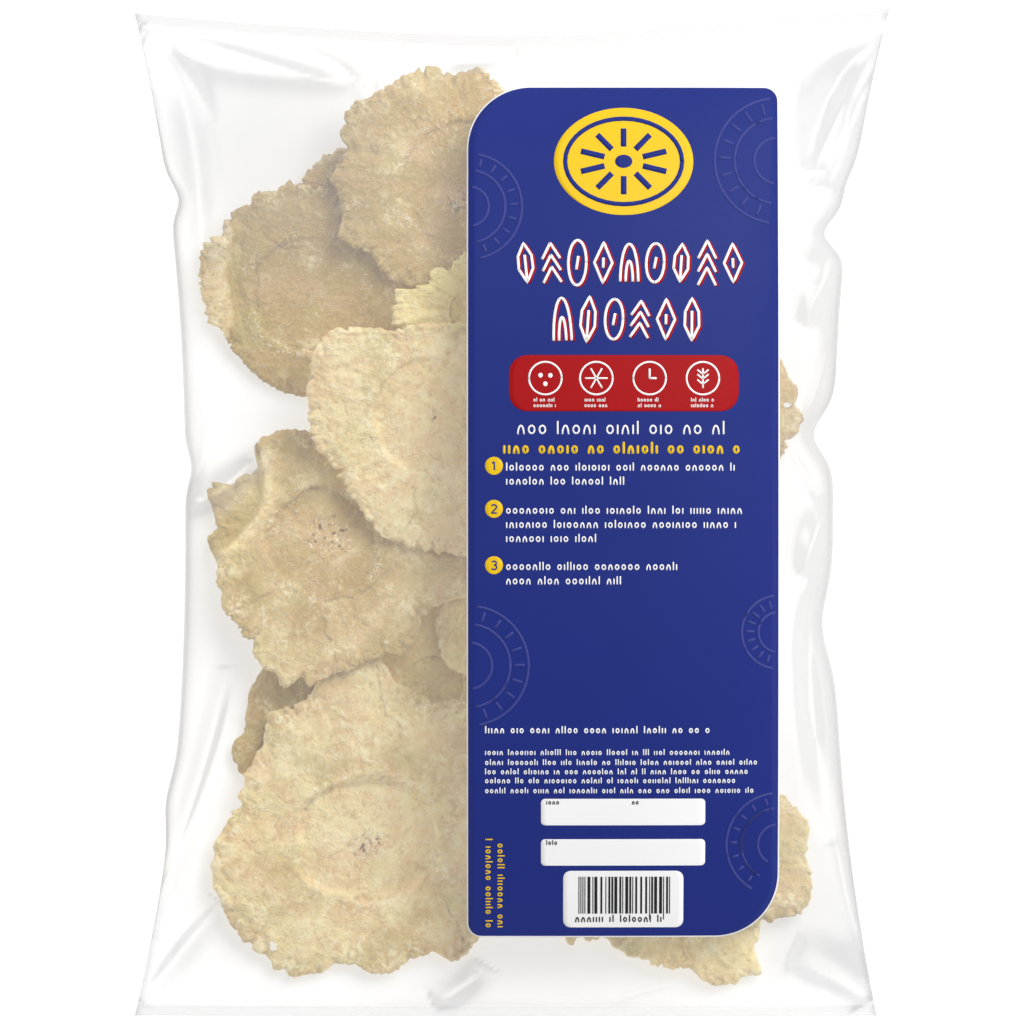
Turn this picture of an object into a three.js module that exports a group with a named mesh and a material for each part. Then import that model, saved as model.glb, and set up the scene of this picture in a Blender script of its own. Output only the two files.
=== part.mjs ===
// Clear film pillow bag of flattened fried plantain slices, lying on its back.
// Its front carries a paper label. Millimetres, +Z up, +Y towards the bag's top seal.
// The origin is on the floor under the middle of the bag.

import * as THREE from "three";

// Film: a 9 x 12 inch flat tube, sealed across its top and bottom, filled and partly inflated.
const bagWidth = 228.6; // across the top corners
const bagLength = 304.8;
const bagHeight = 50; // floor to the crown of the front sheet
const sealBand = 3; // width of each pressed seal
const sealThickness = 0.8;
const sideHeight = 19; // height of the side folds at the waist
const sealHeight = 9; // height of the middle of each seal
const cornerDroop = 4; // how much lower the four corners hang
const floorPress = 30; // depth that the back sheet would bulge if there were no floor
const floorSoftness = 3; // blend between the free back sheet and its flat contact patch
const filledEndPower = 3; // higher keeps the bag full nearer to its seals
const filledSidePower = 3; // higher keeps the bag full nearer to its side folds
const endRoundness = 0.7; // 0.5 rounds the bag over at its seals, 1 runs down to them in a wedge
const sideRoundness = 0.5; // the same at the side folds
const earFlatness = 0.7; // how much of that roundness the side folds lose towards the corners
const foldFreeFullness = 0.12; // folds fade out where the bag is emptier than this

// Side folds. The filled tube draws in from its corners to a waist.
// Small nips lie where the film is pinched.
const flarePower = 2.4;
const leftSide = { waist: 98.6, topCorner: 114.3, bottomCorner: 114.3 };
const rightSide = { waist: 97, topCorner: 114.3, bottomCorner: 110.5 };
const leftNips = [
  { y: 97, depth: 3, reach: 6 },
  { y: 15, depth: 1.8, reach: 6 },
  { y: -87, depth: -1.9, reach: 10 },
];
const rightNips = [
  { y: 98, depth: 2.5, reach: 8 },
  { y: 86, depth: 6.6, reach: 6 },
  { y: 25, depth: 6, reach: 8 },
  { y: -33, depth: 3.5, reach: 13 },
];
const nipLocality = 9; // how closely a nip stays to the side fold

// The filled bag's mouth bows inwards between its corners.
const mouth = { middle: 144, leftCorner: 151.2, rightCorner: 152.4, power: 1.5 };

// Label: a sticker with two wide and two tight corners, opposite each other.
const label = {
  left: -13.6,
  right: 80.5,
  bottom: -128,
  top: 128.6,
  wideRadius: 19.3,
  tightRadius: 4.4,
  thickness: 0.5,
  clearance: 0.45,
};
const labelCalm = { near: 6, far: 16 }; // folds fade out between these distances from the label

// Folds of the front sheet. Each runs through start, middle and end.
// A ridge has a positive rise, a crease a negative one.
const folds = [
  // ridge and crease that fan out from the top left corner
  { path: [[-113, 147], [-88, 135], [-40, 130]], rise: 3.4, width: 6 },
  { path: [[-112, 143], [-98, 120], [-93, 60]], rise: -3, width: 6 },
  // dip behind the middle of the mouth
  { path: [[-34, 139], [-16, 136], [2, 139]], rise: -2.2, width: 6 },
  // crease and ridge of the top right corner
  { path: [[112, 143], [98, 130], [90, 104]], rise: -4, width: 6 },
  { path: [[109, 134], [101, 114], [96, 98]], rise: 2.4, width: 5 },
  // pinched right shoulder
  { path: [[98, 86], [96, 75], [86, 58]], rise: 4.2, width: 4.5 },
  { path: [[99, 60], [98, 44], [90, 22]], rise: -3.4, width: 4.5 },
  { path: [[95, 4], [91, -8], [86, -18]], rise: 3, width: 4.5 },
  { path: [[94, -24], [90, -50], [98, -100]], rise: -3.2, width: 4.5 },
  // crease across the left shoulder, and the long one below it
  { path: [[-99, 4], [-90, 6], [-74, 18]], rise: -3.5, width: 5 },
  { path: [[-86, -46], [-95, -83], [-111, -128]], rise: -3, width: 5 },
  // bottom corners, and the pucker over the middle of the bottom seal
  { path: [[-113, -148], [-98, -130], [-88, -117]], rise: 3, width: 5 },
  { path: [[108, -148], [98, -138], [84, -132]], rise: -3.4, width: 7 },
  { path: [[-24, -148], [-14, -142], [-8, -136]], rise: 2.6, width: 5 },
];
const foldSteps = 12; // straight steps along each fold's curve
const foldSharpness = 1.4; // 2 is a round ridge, 1 is a sharp one

// How finely each solid is faceted.
const bagColumns = 40;
const bagRows = 62;
const columnCrowding = 0.55; // share of the columns' places that crowds towards the side folds
const rowCrowding = 0.3;
const labelColumns = 12;
const labelRowsPerCorner = 6;
const labelRowsBetween = 20;

const filmMaterial = new THREE.MeshStandardMaterial({
  name: "clear_film",
  color: 0xeeefec,
  roughness: 0.12,
  metalness: 0,
  transparent: true,
  opacity: 0.5,
});
const labelMaterial = new THREE.MeshStandardMaterial({
  name: "label_paper",
  color: 0x29368a,
  roughness: 0.4,
  metalness: 0,
});

// Distance of a side fold from the middle plane at height y, before its nips.
function sideReach(side, y) {
  const corner = y > 0 ? side.topCorner : side.bottomCorner;
  return side.waist + (corner - side.waist) * (Math.abs(y) / (bagLength / 2)) ** flarePower;
}
function nipDepth(nips, y) {
  return nips.reduce((sum, nip) => sum + nip.depth * Math.exp(-(((y - nip.y) / nip.reach) ** 2)), 0);
}
function mouthEdge(x) {
  const corner = x < 0 ? mouth.leftCorner : mouth.rightCorner;
  const reach = Math.min(Math.abs(x) / (bagWidth / 2), 1);
  return mouth.middle + (corner - mouth.middle) * reach ** mouth.power;
}

// Distance outside the label's rectangle, zero inside it.
function distanceFromLabel(x, y) {
  const dx = Math.max(label.left - x, 0, x - label.right);
  const dy = Math.max(label.bottom - y, 0, y - label.top);
  return Math.hypot(dx, dy);
}

// Height that a fold adds at x, y: a ridge along its curve that tapers off at both ends.
const foldCurves = folds.map(({ path }) => {
  const curve = new THREE.SplineCurve(path.map(([x, y]) => new THREE.Vector2(x, y)));
  return curve.getPoints(foldSteps);
});
function foldHeight(fold, curve, x, y) {
  let nearest = Infinity;
  let share = 0;
  for (let i = 0; i < foldSteps; i += 1) {
    const a = curve[i];
    const b = curve[i + 1];
    const along = (x - a.x) * (b.x - a.x) + (y - a.y) * (b.y - a.y);
    const t = THREE.MathUtils.clamp(along / a.distanceToSquared(b), 0, 1);
    const distance = Math.hypot(x - a.x - t * (b.x - a.x), y - a.y - t * (b.y - a.y));
    if (distance < nearest) {
      nearest = distance;
      share = (i + t) / foldSteps;
    }
  }
  const taper = Math.sqrt(Math.max(0, 4 * share * (1 - share)));
  return fold.rise * taper * Math.exp(-((nearest / fold.width) ** foldSharpness));
}
function foldsHeight(x, y) {
  const calm = THREE.MathUtils.smoothstep(distanceFromLabel(x, y), labelCalm.near, labelCalm.far);
  if (calm === 0) return 0;
  return calm * folds.reduce((sum, fold, i) => sum + foldHeight(fold, foldCurves[i], x, y), 0);
}

// How full the bag is across (s) and along (t), both from -1 to 1.
// It thins to a wedge at the seals and to flat ears at the corners.
function fullness(s, t) {
  const along = Math.max(0, 1 - Math.abs(t) ** filledEndPower) ** endRoundness;
  const across = Math.max(0, 1 - Math.abs(s) ** filledSidePower) ** (sideRoundness + earFlatness * t ** 4);
  return along * across;
}
function seamHeight(s, t) {
  const middle = sealHeight + (sideHeight - sealHeight) * (1 - t * t);
  return middle - cornerDroop * s * s * t * t;
}
// Zero below -softness, the height itself above +softness, and a smooth step between them.
function restOnFloor(height) {
  if (height <= -floorSoftness) return 0;
  if (height >= floorSoftness) return height;
  return (height + floorSoftness) ** 2 / (4 * floorSoftness);
}

// Plan position and both sheet heights of the film, for s across and t along the bag, both from -1 to 1.
function filmAt(s, t) {
  const nominalY = (t * bagLength) / 2;
  const left = sideReach(leftSide, nominalY);
  const right = sideReach(rightSide, nominalY);
  const nip = nipDepth(s < 0 ? leftNips : rightNips, nominalY) * Math.abs(s) ** nipLocality;
  const x = (right - left) / 2 + (s * (right + left)) / 2 - Math.sign(s) * nip;
  const bottom = -bagLength / 2;
  const y = bottom + ((mouthEdge(x) - bottom) * (t + 1)) / 2;
  const inner = THREE.MathUtils.clamp(t / (1 - (2 * sealBand) / bagLength), -1, 1);
  const full = fullness(s, inner);
  const seam = seamHeight(s, inner);
  const halfSeal = sealThickness / 2;
  const back = Math.max(0, restOnFloor(seam - halfSeal - floorPress * full));
  const smoothFront = seam + halfSeal + (bagHeight - sideHeight - halfSeal) * full;
  const edgeFade = Math.min(1, full / foldFreeFullness);
  const front = Math.max(smoothFront + edgeFade * foldsHeight(x, y), back + sealThickness);
  return { x, y, front, back };
}

// Front sheet height at a place x, y of the label, found by stepping s and t towards it.
const seekSteps = 30;
function frontHeight(x, y) {
  let s = 0;
  let t = 0;
  for (let step = 0; step < seekSteps; step += 1) {
    const here = filmAt(s, t);
    s = THREE.MathUtils.clamp(s + ((x - here.x) * 2) / bagWidth, -1, 1);
    t = THREE.MathUtils.clamp(t + ((y - here.y) * 2) / bagLength, -1, 1);
  }
  return filmAt(s, t).front;
}

// A closed solid between two facing sheets. upper(i, j) and lower(i, j) give points on the same grid.
function sheetSolid(columns, rows, upper, lower) {
  const positions = [];
  const indices = [];
  const stride = columns + 1;
  const lowerStart = stride * (rows + 1);
  for (const sheet of [upper, lower]) {
    for (let j = 0; j <= rows; j += 1) {
      for (let i = 0; i <= columns; i += 1) positions.push(...sheet(i, j));
    }
  }
  const quad = (a, b, c, d) => indices.push(a, b, c, a, c, d);
  for (let j = 0; j < rows; j += 1) {
    for (let i = 0; i < columns; i += 1) {
      const a = j * stride + i;
      const up = a + stride;
      quad(a, a + 1, up + 1, up);
      quad(lowerStart + a, lowerStart + up, lowerStart + up + 1, lowerStart + a + 1);
    }
    const first = j * stride;
    const last = first + columns;
    quad(first, first + stride, lowerStart + first + stride, lowerStart + first);
    quad(last, lowerStart + last, lowerStart + last + stride, last + stride);
  }
  for (let i = 0; i < columns; i += 1) {
    const far = rows * stride + i;
    quad(i, lowerStart + i, lowerStart + i + 1, i + 1);
    quad(far, far + 1, lowerStart + far + 1, lowerStart + far);
  }
  const geometry = new THREE.BufferGeometry();
  geometry.setAttribute("position", new THREE.Float32BufferAttribute(positions, 3));
  geometry.setIndex(indices);
  geometry.computeVertexNormals();
  return geometry;
}

// Places from -1 to 1 along a row or column of the grid, closer together towards both ends.
function crowdedPlace(index, count, crowding) {
  const even = (2 * index) / count - 1;
  return (1 - crowding) * even + crowding * Math.sin((even * Math.PI) / 2);
}
// The first and last rows are the outer edges of the seals, and the next ones their inner edges.
function rowPlace(j) {
  if (j === 0) return -1;
  if (j === bagRows) return 1;
  const sealShare = (2 * sealBand) / bagLength;
  return (1 - sealShare) * crowdedPlace(j - 1, bagRows - 2, rowCrowding);
}

function makeBag() {
  const points = Array.from({ length: bagRows + 1 }, (_, j) =>
    Array.from({ length: bagColumns + 1 }, (__, i) =>
      filmAt(crowdedPlace(i, bagColumns, columnCrowding), rowPlace(j)),
    ),
  );
  const geometry = sheetSolid(
    bagColumns,
    bagRows,
    (i, j) => [points[j][i].x, points[j][i].y, points[j][i].front],
    (i, j) => [points[j][i].x, points[j][i].y, points[j][i].back],
  );
  const bag = new THREE.Mesh(geometry, filmMaterial);
  bag.name = "bag";
  return bag;
}

// The label's left and right edges at a height y, with its four corner arcs.
function labelSpan(y) {
  const inset = (radius, distance) =>
    distance >= radius ? 0 : radius - Math.sqrt(Math.max(0, radius ** 2 - (radius - distance) ** 2));
  const fromTop = label.top - y;
  const fromBottom = y - label.bottom;
  return {
    left: label.left + inset(label.wideRadius, fromTop) + inset(label.tightRadius, fromBottom),
    right: label.right - inset(label.tightRadius, fromTop) - inset(label.wideRadius, fromBottom),
  };
}
function labelRowHeights() {
  const arc = Array.from(
    { length: labelRowsPerCorner + 1 },
    (_, k) => label.wideRadius * (1 - Math.cos((k / labelRowsPerCorner) * (Math.PI / 2))),
  );
  const start = label.bottom + label.wideRadius;
  const end = label.top - label.wideRadius;
  const between = Array.from(
    { length: labelRowsBetween - 1 },
    (_, k) => start + ((k + 1) / labelRowsBetween) * (end - start),
  );
  return [...arc.map((d) => label.bottom + d), ...between, ...arc.map((d) => label.top - d).reverse()];
}

function makeLabel() {
  const heights = labelRowHeights();
  const points = heights.map((y) => {
    const { left, right } = labelSpan(y);
    return Array.from({ length: labelColumns + 1 }, (_, i) => {
      const x = left + (i / labelColumns) * (right - left);
      return [x, y, frontHeight(x, y) + label.clearance];
    });
  });
  const raised = ([x, y, z]) => [x, y, z + label.thickness];
  const geometry = sheetSolid(
    labelColumns,
    heights.length - 1,
    (i, j) => raised(points[j][i]),
    (i, j) => points[j][i],
  );
  const sticker = new THREE.Mesh(geometry, labelMaterial);
  sticker.name = "label";
  return sticker;
}

const part = new THREE.Group();
part.add(makeBag(), makeLabel());
export default part;
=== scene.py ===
import math
import bpy
import numpy as np
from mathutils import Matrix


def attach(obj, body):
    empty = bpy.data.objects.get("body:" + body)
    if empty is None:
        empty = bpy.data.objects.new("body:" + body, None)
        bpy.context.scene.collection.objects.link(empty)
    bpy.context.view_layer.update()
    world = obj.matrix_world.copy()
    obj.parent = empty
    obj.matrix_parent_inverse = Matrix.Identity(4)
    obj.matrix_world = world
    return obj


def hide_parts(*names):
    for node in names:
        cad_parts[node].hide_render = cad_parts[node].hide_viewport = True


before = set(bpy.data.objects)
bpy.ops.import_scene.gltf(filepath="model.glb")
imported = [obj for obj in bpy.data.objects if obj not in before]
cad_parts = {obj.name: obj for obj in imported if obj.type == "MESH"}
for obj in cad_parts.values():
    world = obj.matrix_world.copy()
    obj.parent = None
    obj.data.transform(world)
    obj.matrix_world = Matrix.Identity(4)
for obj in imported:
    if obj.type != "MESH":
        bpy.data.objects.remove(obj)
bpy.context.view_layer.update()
mm = 0.001  # every size below is in millimetres, and a mesh is scaled once, when it is made


def smoothStep(low, high, x):
    # 0 below low, 1 above high, and the cubic 3t^2 - 2t^3 between them
    t = np.clip((x - low) / (high - low), 0, 1)
    return t * t * (3 - 2 * t)


def gradientNoise(x, y, seed):
    # Perlin's noise, about -1 to 1: each corner of a lattice has a random slope, and a quintic step blends
    # the slopes of the four corners round a point
    slopes = np.random.default_rng(seed).random((256, 256)) * 2 * np.pi
    column, row = np.floor(x).astype(int), np.floor(y).astype(int)
    u, v = x - column, y - row

    def corner(right, up):
        # cos(angle) * way across + sin(angle) * way up, from one corner of the point's cell
        angle = slopes[(column + right) % 256, (row + up) % 256]
        return np.cos(angle) * (u - right) + np.sin(angle) * (v - up)

    fadeU = u ** 3 * (u * (u * 6 - 15) + 10)
    fadeV = v ** 3 * (v * (v * 6 - 15) + 10)
    low = corner(0, 0) + fadeU * (corner(1, 0) - corner(0, 0))
    high = corner(0, 1) + fadeU * (corner(1, 1) - corner(0, 1))
    return 1.45 * (low + fadeV * (high - low))


def cloudNoise(x, y, seed, octaves=4):
    # layers of gradient noise, each turned, twice as fine and half as strong as the one before
    total, weight = 0, 1
    for octave in range(octaves):
        total = total + weight * gradientNoise(x, y, seed + 31 * octave)
        x, y = 1.62 * x - 1.21 * y + 7.3, 1.21 * x + 1.62 * y + 3.1
        weight *= 0.5
    return total


def gridQuads(rows, columns, start=0, closed=False):
    # four corners for each cell of a grid of points; a closed grid joins its last column to its first
    index = start + np.arange(rows * columns).reshape(rows, columns)
    right = np.roll(index, -1, 1) if closed else index[:, 1:]
    left = index if closed else index[:, :-1]
    return np.stack([left[:-1], right[:-1], right[1:], left[1:]], -1).reshape(-1, 4)


def sheetFaces(rows, columns):
    # two grids of points, the second turned over, with a rim of quads between their borders
    count = rows * columns
    index = np.arange(count).reshape(rows, columns)
    border = np.concatenate([index[0], index[1:, -1], index[-1, -2::-1], index[-2:0:-1, 0]])
    following = np.roll(border, -1)
    rim = np.stack([border, border + count, following + count, following], -1)
    return np.concatenate([gridQuads(rows, columns), gridQuads(rows, columns, count)[:, ::-1], rim])


def makePiece(name, points, faces, material, attributes=None, smooth=True):
    # an object from points in millimetres; attributes are masks with one value a point
    mesh = bpy.data.meshes.new(name)
    mesh.from_pydata((np.asarray(points) * mm).tolist(), [], faces)
    mesh.polygons.foreach_set("use_smooth", np.full(len(faces), smooth))
    for key, values in (attributes or {}).items():
        mesh.attributes.new(key, "FLOAT", "POINT").data.foreach_set("value", values.astype(np.float32))
    mesh.materials.append(material)
    mesh.update()
    piece = bpy.data.objects.new(name, mesh)
    bpy.context.scene.collection.objects.link(piece)
    return piece


def newMaterial(name):
    # a material with its node tree and its shader
    material = bpy.data.materials.new(name)
    material.use_nodes = True
    return material, material.node_tree, material.node_tree.nodes["Principled BSDF"]


def addNode(tree, kind, settings=None, **inputs):
    # a node with its inputs set by name, or by number as n0: a value sets the socket, and another node's
    # output is linked to it
    node = tree.nodes.new(kind)
    for key, value in (settings or {}).items():
        setattr(node, key, value)
    for key, value in inputs.items():
        numbered = key[0] == "n" and key[1:].isdigit()
        socket = node.inputs[int(key[1:]) if numbered else key.replace("_", " ")]
        if isinstance(value, bpy.types.NodeSocket):
            tree.links.new(value, socket)
        else:
            socket.default_value = value
    return node


def mixColour(tree, share, below, above):
    # sockets 0, 6 and 7 of a colour mix are its factor and its two colours
    return addNode(tree, "ShaderNodeMix", {"data_type": "RGBA"}, n0=share, n6=below, n7=above).outputs[2]


def mathNode(tree, operation, first, second=0.0, clamp=False):
    # one sum of two numbers, kept from 0 to 1 where it is clamped
    settings = {"operation": operation, "use_clamp": clamp}
    return addNode(tree, "ShaderNodeMath", settings, n0=first, n1=second).outputs[0]


def timesNode(tree, first, second):
    # first * second
    return mathNode(tree, "MULTIPLY", first, second)


def maskNode(tree, name):
    # a mask that makePiece has stored on the points
    return addNode(tree, "ShaderNodeAttribute", {"attribute_name": name}).outputs["Fac"]


def noiseOutput(tree, place, scale, detail=3.0, roughness=0.55, distortion=0.0):
    # cloudy noise from 0 to 1, with so many lumps to a metre
    node = addNode(tree, "ShaderNodeTexNoise", Vector=place, Scale=scale, Detail=detail, Roughness=roughness)
    node.inputs["Distortion"].default_value = distortion
    return node.outputs["Fac"]


def stepNode(tree, value, low, high):
    # 0 at low, 1 at high and smooth between them, also where low is the higher of the two
    node = addNode(tree, "ShaderNodeMapRange", {"interpolation_type": "SMOOTHSTEP"}, Value=value)
    node.inputs["From Min"].default_value, node.inputs["From Max"].default_value = low, high
    return node.outputs["Result"]


def bumpOutput(tree, height, distance, strength=1.0):
    # the surface's direction as if it rose by height * distance, in metres
    node = addNode(tree, "ShaderNodeBump", Height=height, Distance=distance, Strength=strength)
    return node.outputs["Normal"]


film = dict(
    width=228.6,
    length=304.8,
    crown=50.0,
    sealBand=3.0,
    sealThickness=0.8,  # as far as the solid bag's seals reach
    weld=0.3,  # thickness of the welded film itself
    sideHeight=19.0,
    sealHeight=9.0,
    cornerDroop=4.0,
    floorPress=30.0,  # how far the back sheet would bulge below its seams without a floor
    floorSoftness=3.0,
    endPower=3,  # higher keeps the bag full nearer to its seals
    sidePower=3,
    endRoundness=0.7,
    sideRoundness=0.5,
    earFlatness=0.7,  # how much of the side folds' roundness goes towards the corners
    foldFreeFullness=0.12,  # folds fade out where the bag is emptier than this
    flarePower=2.4,
    nipPower=9,  # how closely a pinch stays to its side fold
    pleatRise=0.6,  # of the pleats that run out of the seals
    pleatReach=16.0,
    columns=184,
    rows=252,
)
# the side folds' distance from the middle at the waist and both ends, and each pinch's place, depth and reach
leftSide = dict(
    waist=98.6,
    top=114.3,
    bottom=114.3,
    nips=[(97, 3, 6), (15, 1.8, 6), (-87, -1.9, 10)],
)
rightSide = dict(
    waist=97.0,
    top=114.3,
    bottom=110.5,
    nips=[(98, 2.5, 8), (86, 6.6, 6), (25, 6, 8), (-33, 3.5, 13)],
)
mouth = dict(middle=144.0, left=151.2, right=152.4, power=1.5)
labelBox = dict(left=-13.6, right=80.5, bottom=-128.0, top=128.6, wideRadius=19.3, tightRadius=4.4)

# start, middle and end of each fold, its rise, its width, and how sharp it is (2 is round)
folds = [
    ((-113, 147), (-88, 135), (-40, 130), 3.4, 6, 1.4),
    ((-112, 143), (-98, 120), (-93, 60), -3, 6, 1.4),
    ((-34, 139), (-16, 136), (2, 139), -2.2, 6, 1.4),
    ((112, 143), (98, 130), (90, 104), -4, 6, 1.4),
    ((109, 134), (101, 114), (96, 98), 2.4, 5, 1.4),
    ((98, 86), (96, 75), (86, 58), 4.2, 4.5, 1.6),
    ((99, 60), (98, 44), (90, 22), -3.4, 4.5, 1.4),
    ((95, 4), (91, -8), (86, -18), 3, 4.5, 1.4),
    ((94, -24), (90, -50), (98, -100), -3.2, 4.5, 1.4),
    ((-99, 4), (-90, 6), (-74, 18), -3.5, 5, 1.7),
    ((-86, -46), (-95, -83), (-111, -128), -3, 5, 1.4),
    ((-113, -148), (-98, -130), (-88, -117), 3, 5, 1.4),
    ((108, -148), (98, -138), (84, -132), -3.4, 7, 1.8),
    ((-24, -148), (-14, -142), (-8, -136), 2.6, 5, 1.8),
]
fineFolds = [
    ((-112, 148), (-100, 136), (-90, 118), -1.0, 2.2, 1.5),
    ((-108, 146), (-80, 138), (-50, 128), 0.9, 1.8, 1.2),
    ((-70, 141), (-52, 135), (-46, 124), 0.8, 2.0, 1.2),
    ((113, 142), (104, 134), (98, 124), -1.1, 2.2, 1.5),
    ((106, 138), (97, 118), (88, 96), 0.9, 1.8, 1.2),
    ((94, 85), (97, 77), (82, 57), -1.0, 2.1, 1.5),
    ((100, 70), (98, 55), (90, 30), 1.0, 1.6, 1.1),
    ((94, 2), (88, 12), (83, 20), -0.8, 1.8, 1.2),
    ((95, -15), (87, -42), (92, -70), -1.0, 1.6, 1.1),
    ((92, -68), (98, -100), (107, -140), 0.8, 2.0, 1.2),
    ((-98, 2), (-86, 8), (-79, 16), -1.0, 2.1, 1.6),
    ((-95, 40), (-92, 22), (-97, 8), 0.8, 2.2, 1.2),
    ((-112, -146), (-100, -128), (-87, -116), -0.9, 2.2, 1.5),
    ((-83, -50), (-94, -86), (-109, -116), 0.9, 1.8, 1.2),
    ((110, -149), (98, -142), (84, -136), -0.9, 2.6, 1.7),
    ((-22, -149), (-16, -144), (-10, -139), 0.9, 2.4, 1.7),
    ((30, -149), (38, -145), (52, -142), 0.7, 1.6, 1.2),
    ((20, 144), (30, 139), (46, 137), 0.8, 1.8, 1.2),
    ((60, 147), (70, 141), (86, 137), -0.8, 1.8, 1.2),
]


def sideFold(side, y):
    # waist + (corner - waist) * |share of the half length|^2.4
    corner = np.where(y > 0, side["top"], side["bottom"])
    return side["waist"] + (corner - side["waist"]) * (np.abs(y) * 2 / film["length"]) ** film["flarePower"]


def nipDepth(side, y):
    # a bell curve at each pinch
    return sum(depth * np.exp(-((y - place) / reach) ** 2) for place, depth, reach in side["nips"])


def mouthEdge(x):
    # middle + (corner - middle) * |share of the half width|^1.5
    corner = np.where(x < 0, mouth["left"], mouth["right"])
    share = np.minimum(np.abs(x) * 2 / film["width"], 1)
    return mouth["middle"] + (corner - mouth["middle"]) * share ** mouth["power"]


def foldHeights(x, y, group):
    # each fold adds rise * taper at both ends * exp(-(distance / width)^sharpness), where distance is to the
    # nearest point of a parabola through the fold's three points
    total = np.zeros_like(x)
    u = np.linspace(0, 1, 17)
    for start, middle, end, rise, width, sharpness in group:
        start, middle, end = np.array(start, float), np.array(middle, float), np.array(end, float)
        control = 2 * middle - (start + end) / 2
        weights = np.stack([(1 - u) ** 2, 2 * u * (1 - u), u ** 2], -1)
        curve = weights @ np.array([start, control, end])
        nearest, share = np.full(x.shape, 1e9), np.zeros_like(x)
        for step in range(len(u) - 1):
            a, run = curve[step], curve[step + 1] - curve[step]
            t = np.clip(((x - a[0]) * run[0] + (y - a[1]) * run[1]) / (run @ run), 0, 1)
            distance = np.hypot(x - a[0] - t * run[0], y - a[1] - t * run[1])
            closer = distance < nearest
            nearest = np.where(closer, distance, nearest)
            share = np.where(closer, (step + t) / (len(u) - 1), share)
        taper = np.sqrt(np.maximum(0, 4 * share * (1 - share)))
        total += rise * taper * np.exp(-((nearest / width) ** sharpness))
    return total


def labelDistance(x, y):
    # how far outside the label's box a point is, 0 inside it
    dx = np.maximum(np.maximum(labelBox["left"] - x, x - labelBox["right"]), 0)
    dy = np.maximum(np.maximum(labelBox["bottom"] - y, y - labelBox["top"]), 0)
    return np.hypot(dx, dy)


def gatherWrinkles(x, y, t):
    # shallow pleats that run out of each seal and die away along the bag
    near = np.exp(-((1 - np.abs(t)) * film["length"] / 2 / film["pleatReach"]) ** 1.3)
    pleats = gradientNoise(x / 9 + 0.5 * gradientNoise(x / 30, y / 30, 5), y / 55, 71)
    return near * (film["pleatRise"] * pleats + 0.12 * gradientNoise(x / 4, y / 40, 72))


def filmRelief(x, y, inner):
    # folds and wrinkles of the front sheet, which the label holds flat under it and beside it
    beside = labelDistance(x, y)
    fine = foldHeights(x, y, fineFolds) + gatherWrinkles(x, y, inner)
    return smoothStep(2, 9, beside) * foldHeights(x, y, folds) + smoothStep(0.5, 5, beside) * fine


def filmAt(s, t, wrinkled=True):
    # Plan place and both sheets' heights for s across and t along the bag, both -1 to 1. How full the bag is
    # goes as (1 - |t|^3)^0.7 along it times (1 - |s|^3)^(0.5 + 0.7 t^4) across it. Both sheets leave the
    # seam by that share of their greatest bulge, and the floor flattens the back sheet.
    nominalY = t * film["length"] / 2
    left, right = sideFold(leftSide, nominalY), sideFold(rightSide, nominalY)
    nip = np.where(s < 0, nipDepth(leftSide, nominalY), nipDepth(rightSide, nominalY))
    nip = nip * np.abs(s) ** film["nipPower"]
    x = (right - left) / 2 + s * (right + left) / 2 - np.sign(s) * nip
    bottom = -film["length"] / 2
    y = bottom + (mouthEdge(x) - bottom) * (t + 1) / 2
    inner = np.clip(t / (1 - 2 * film["sealBand"] / film["length"]), -1, 1)
    full = np.maximum(0, 1 - np.abs(inner) ** film["endPower"]) ** film["endRoundness"]
    roundness = film["sideRoundness"] + film["earFlatness"] * inner ** 4
    full = full * np.maximum(0, 1 - np.abs(s) ** film["sidePower"]) ** roundness
    seam = film["sealHeight"] + (film["sideHeight"] - film["sealHeight"]) * (1 - inner ** 2)
    seam = seam - film["cornerDroop"] * s ** 2 * inner ** 2
    back = seam - film["weld"] / 2 - film["floorPress"] * full
    soft = film["floorSoftness"]
    pressed = (np.clip(back, -soft, soft) + soft) ** 2 / (4 * soft)
    back = np.where(back >= soft, back, pressed)
    rise = film["crown"] - film["sideHeight"] - film["sealThickness"] / 2
    front = seam + film["weld"] / 2 + rise * full
    if wrinkled:
        front = front + np.minimum(1, full / film["foldFreeFullness"]) * filmRelief(x, y, inner)
    return x, y, np.maximum(front, back + film["weld"]), back


def filmOver(x, y, wrinkled=True):
    # the film above and below a plan place, found by stepping s and t towards it
    s, t = np.zeros_like(x), np.zeros_like(x)
    for step in range(30):
        hereX, hereY, front, back = filmAt(s, t, False)
        s = np.clip(s + (x - hereX) * 2 / film["width"], -1, 1)
        t = np.clip(t + (y - hereY) * 2 / film["length"], -1, 1)
    return filmAt(s, t, wrinkled)[2:]


tostoneDefaults = dict(
    thickness=5.6,
    rimShare=0.5,  # the rim's thickness, as a share of the middle's
    bend=(0.8, 0.6, 0.0),  # how far the rim curls up along x, along y and along the diagonal
    ripple=(0.4, 5),  # rise and number of waves round the rim
    wellDepth=0.8,  # of the pressed round, whose centre and half widths are given as well
    wellTone=0.12,
    heart=(0, 0, 3, 0),  # centre, size and strength of the seed specks
    cracks=[],  # paths
    ridges=[],  # paths with a rise and a width
    holes=[],  # centres and half widths
    rag=0.75,  # how crumbly the edge is
    toastAndShade=0.0,
    mossAndShade=0.0,
    yellow=0.0,
    turns=220,
    rings=46,
    lowerRings=14,
)
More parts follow.
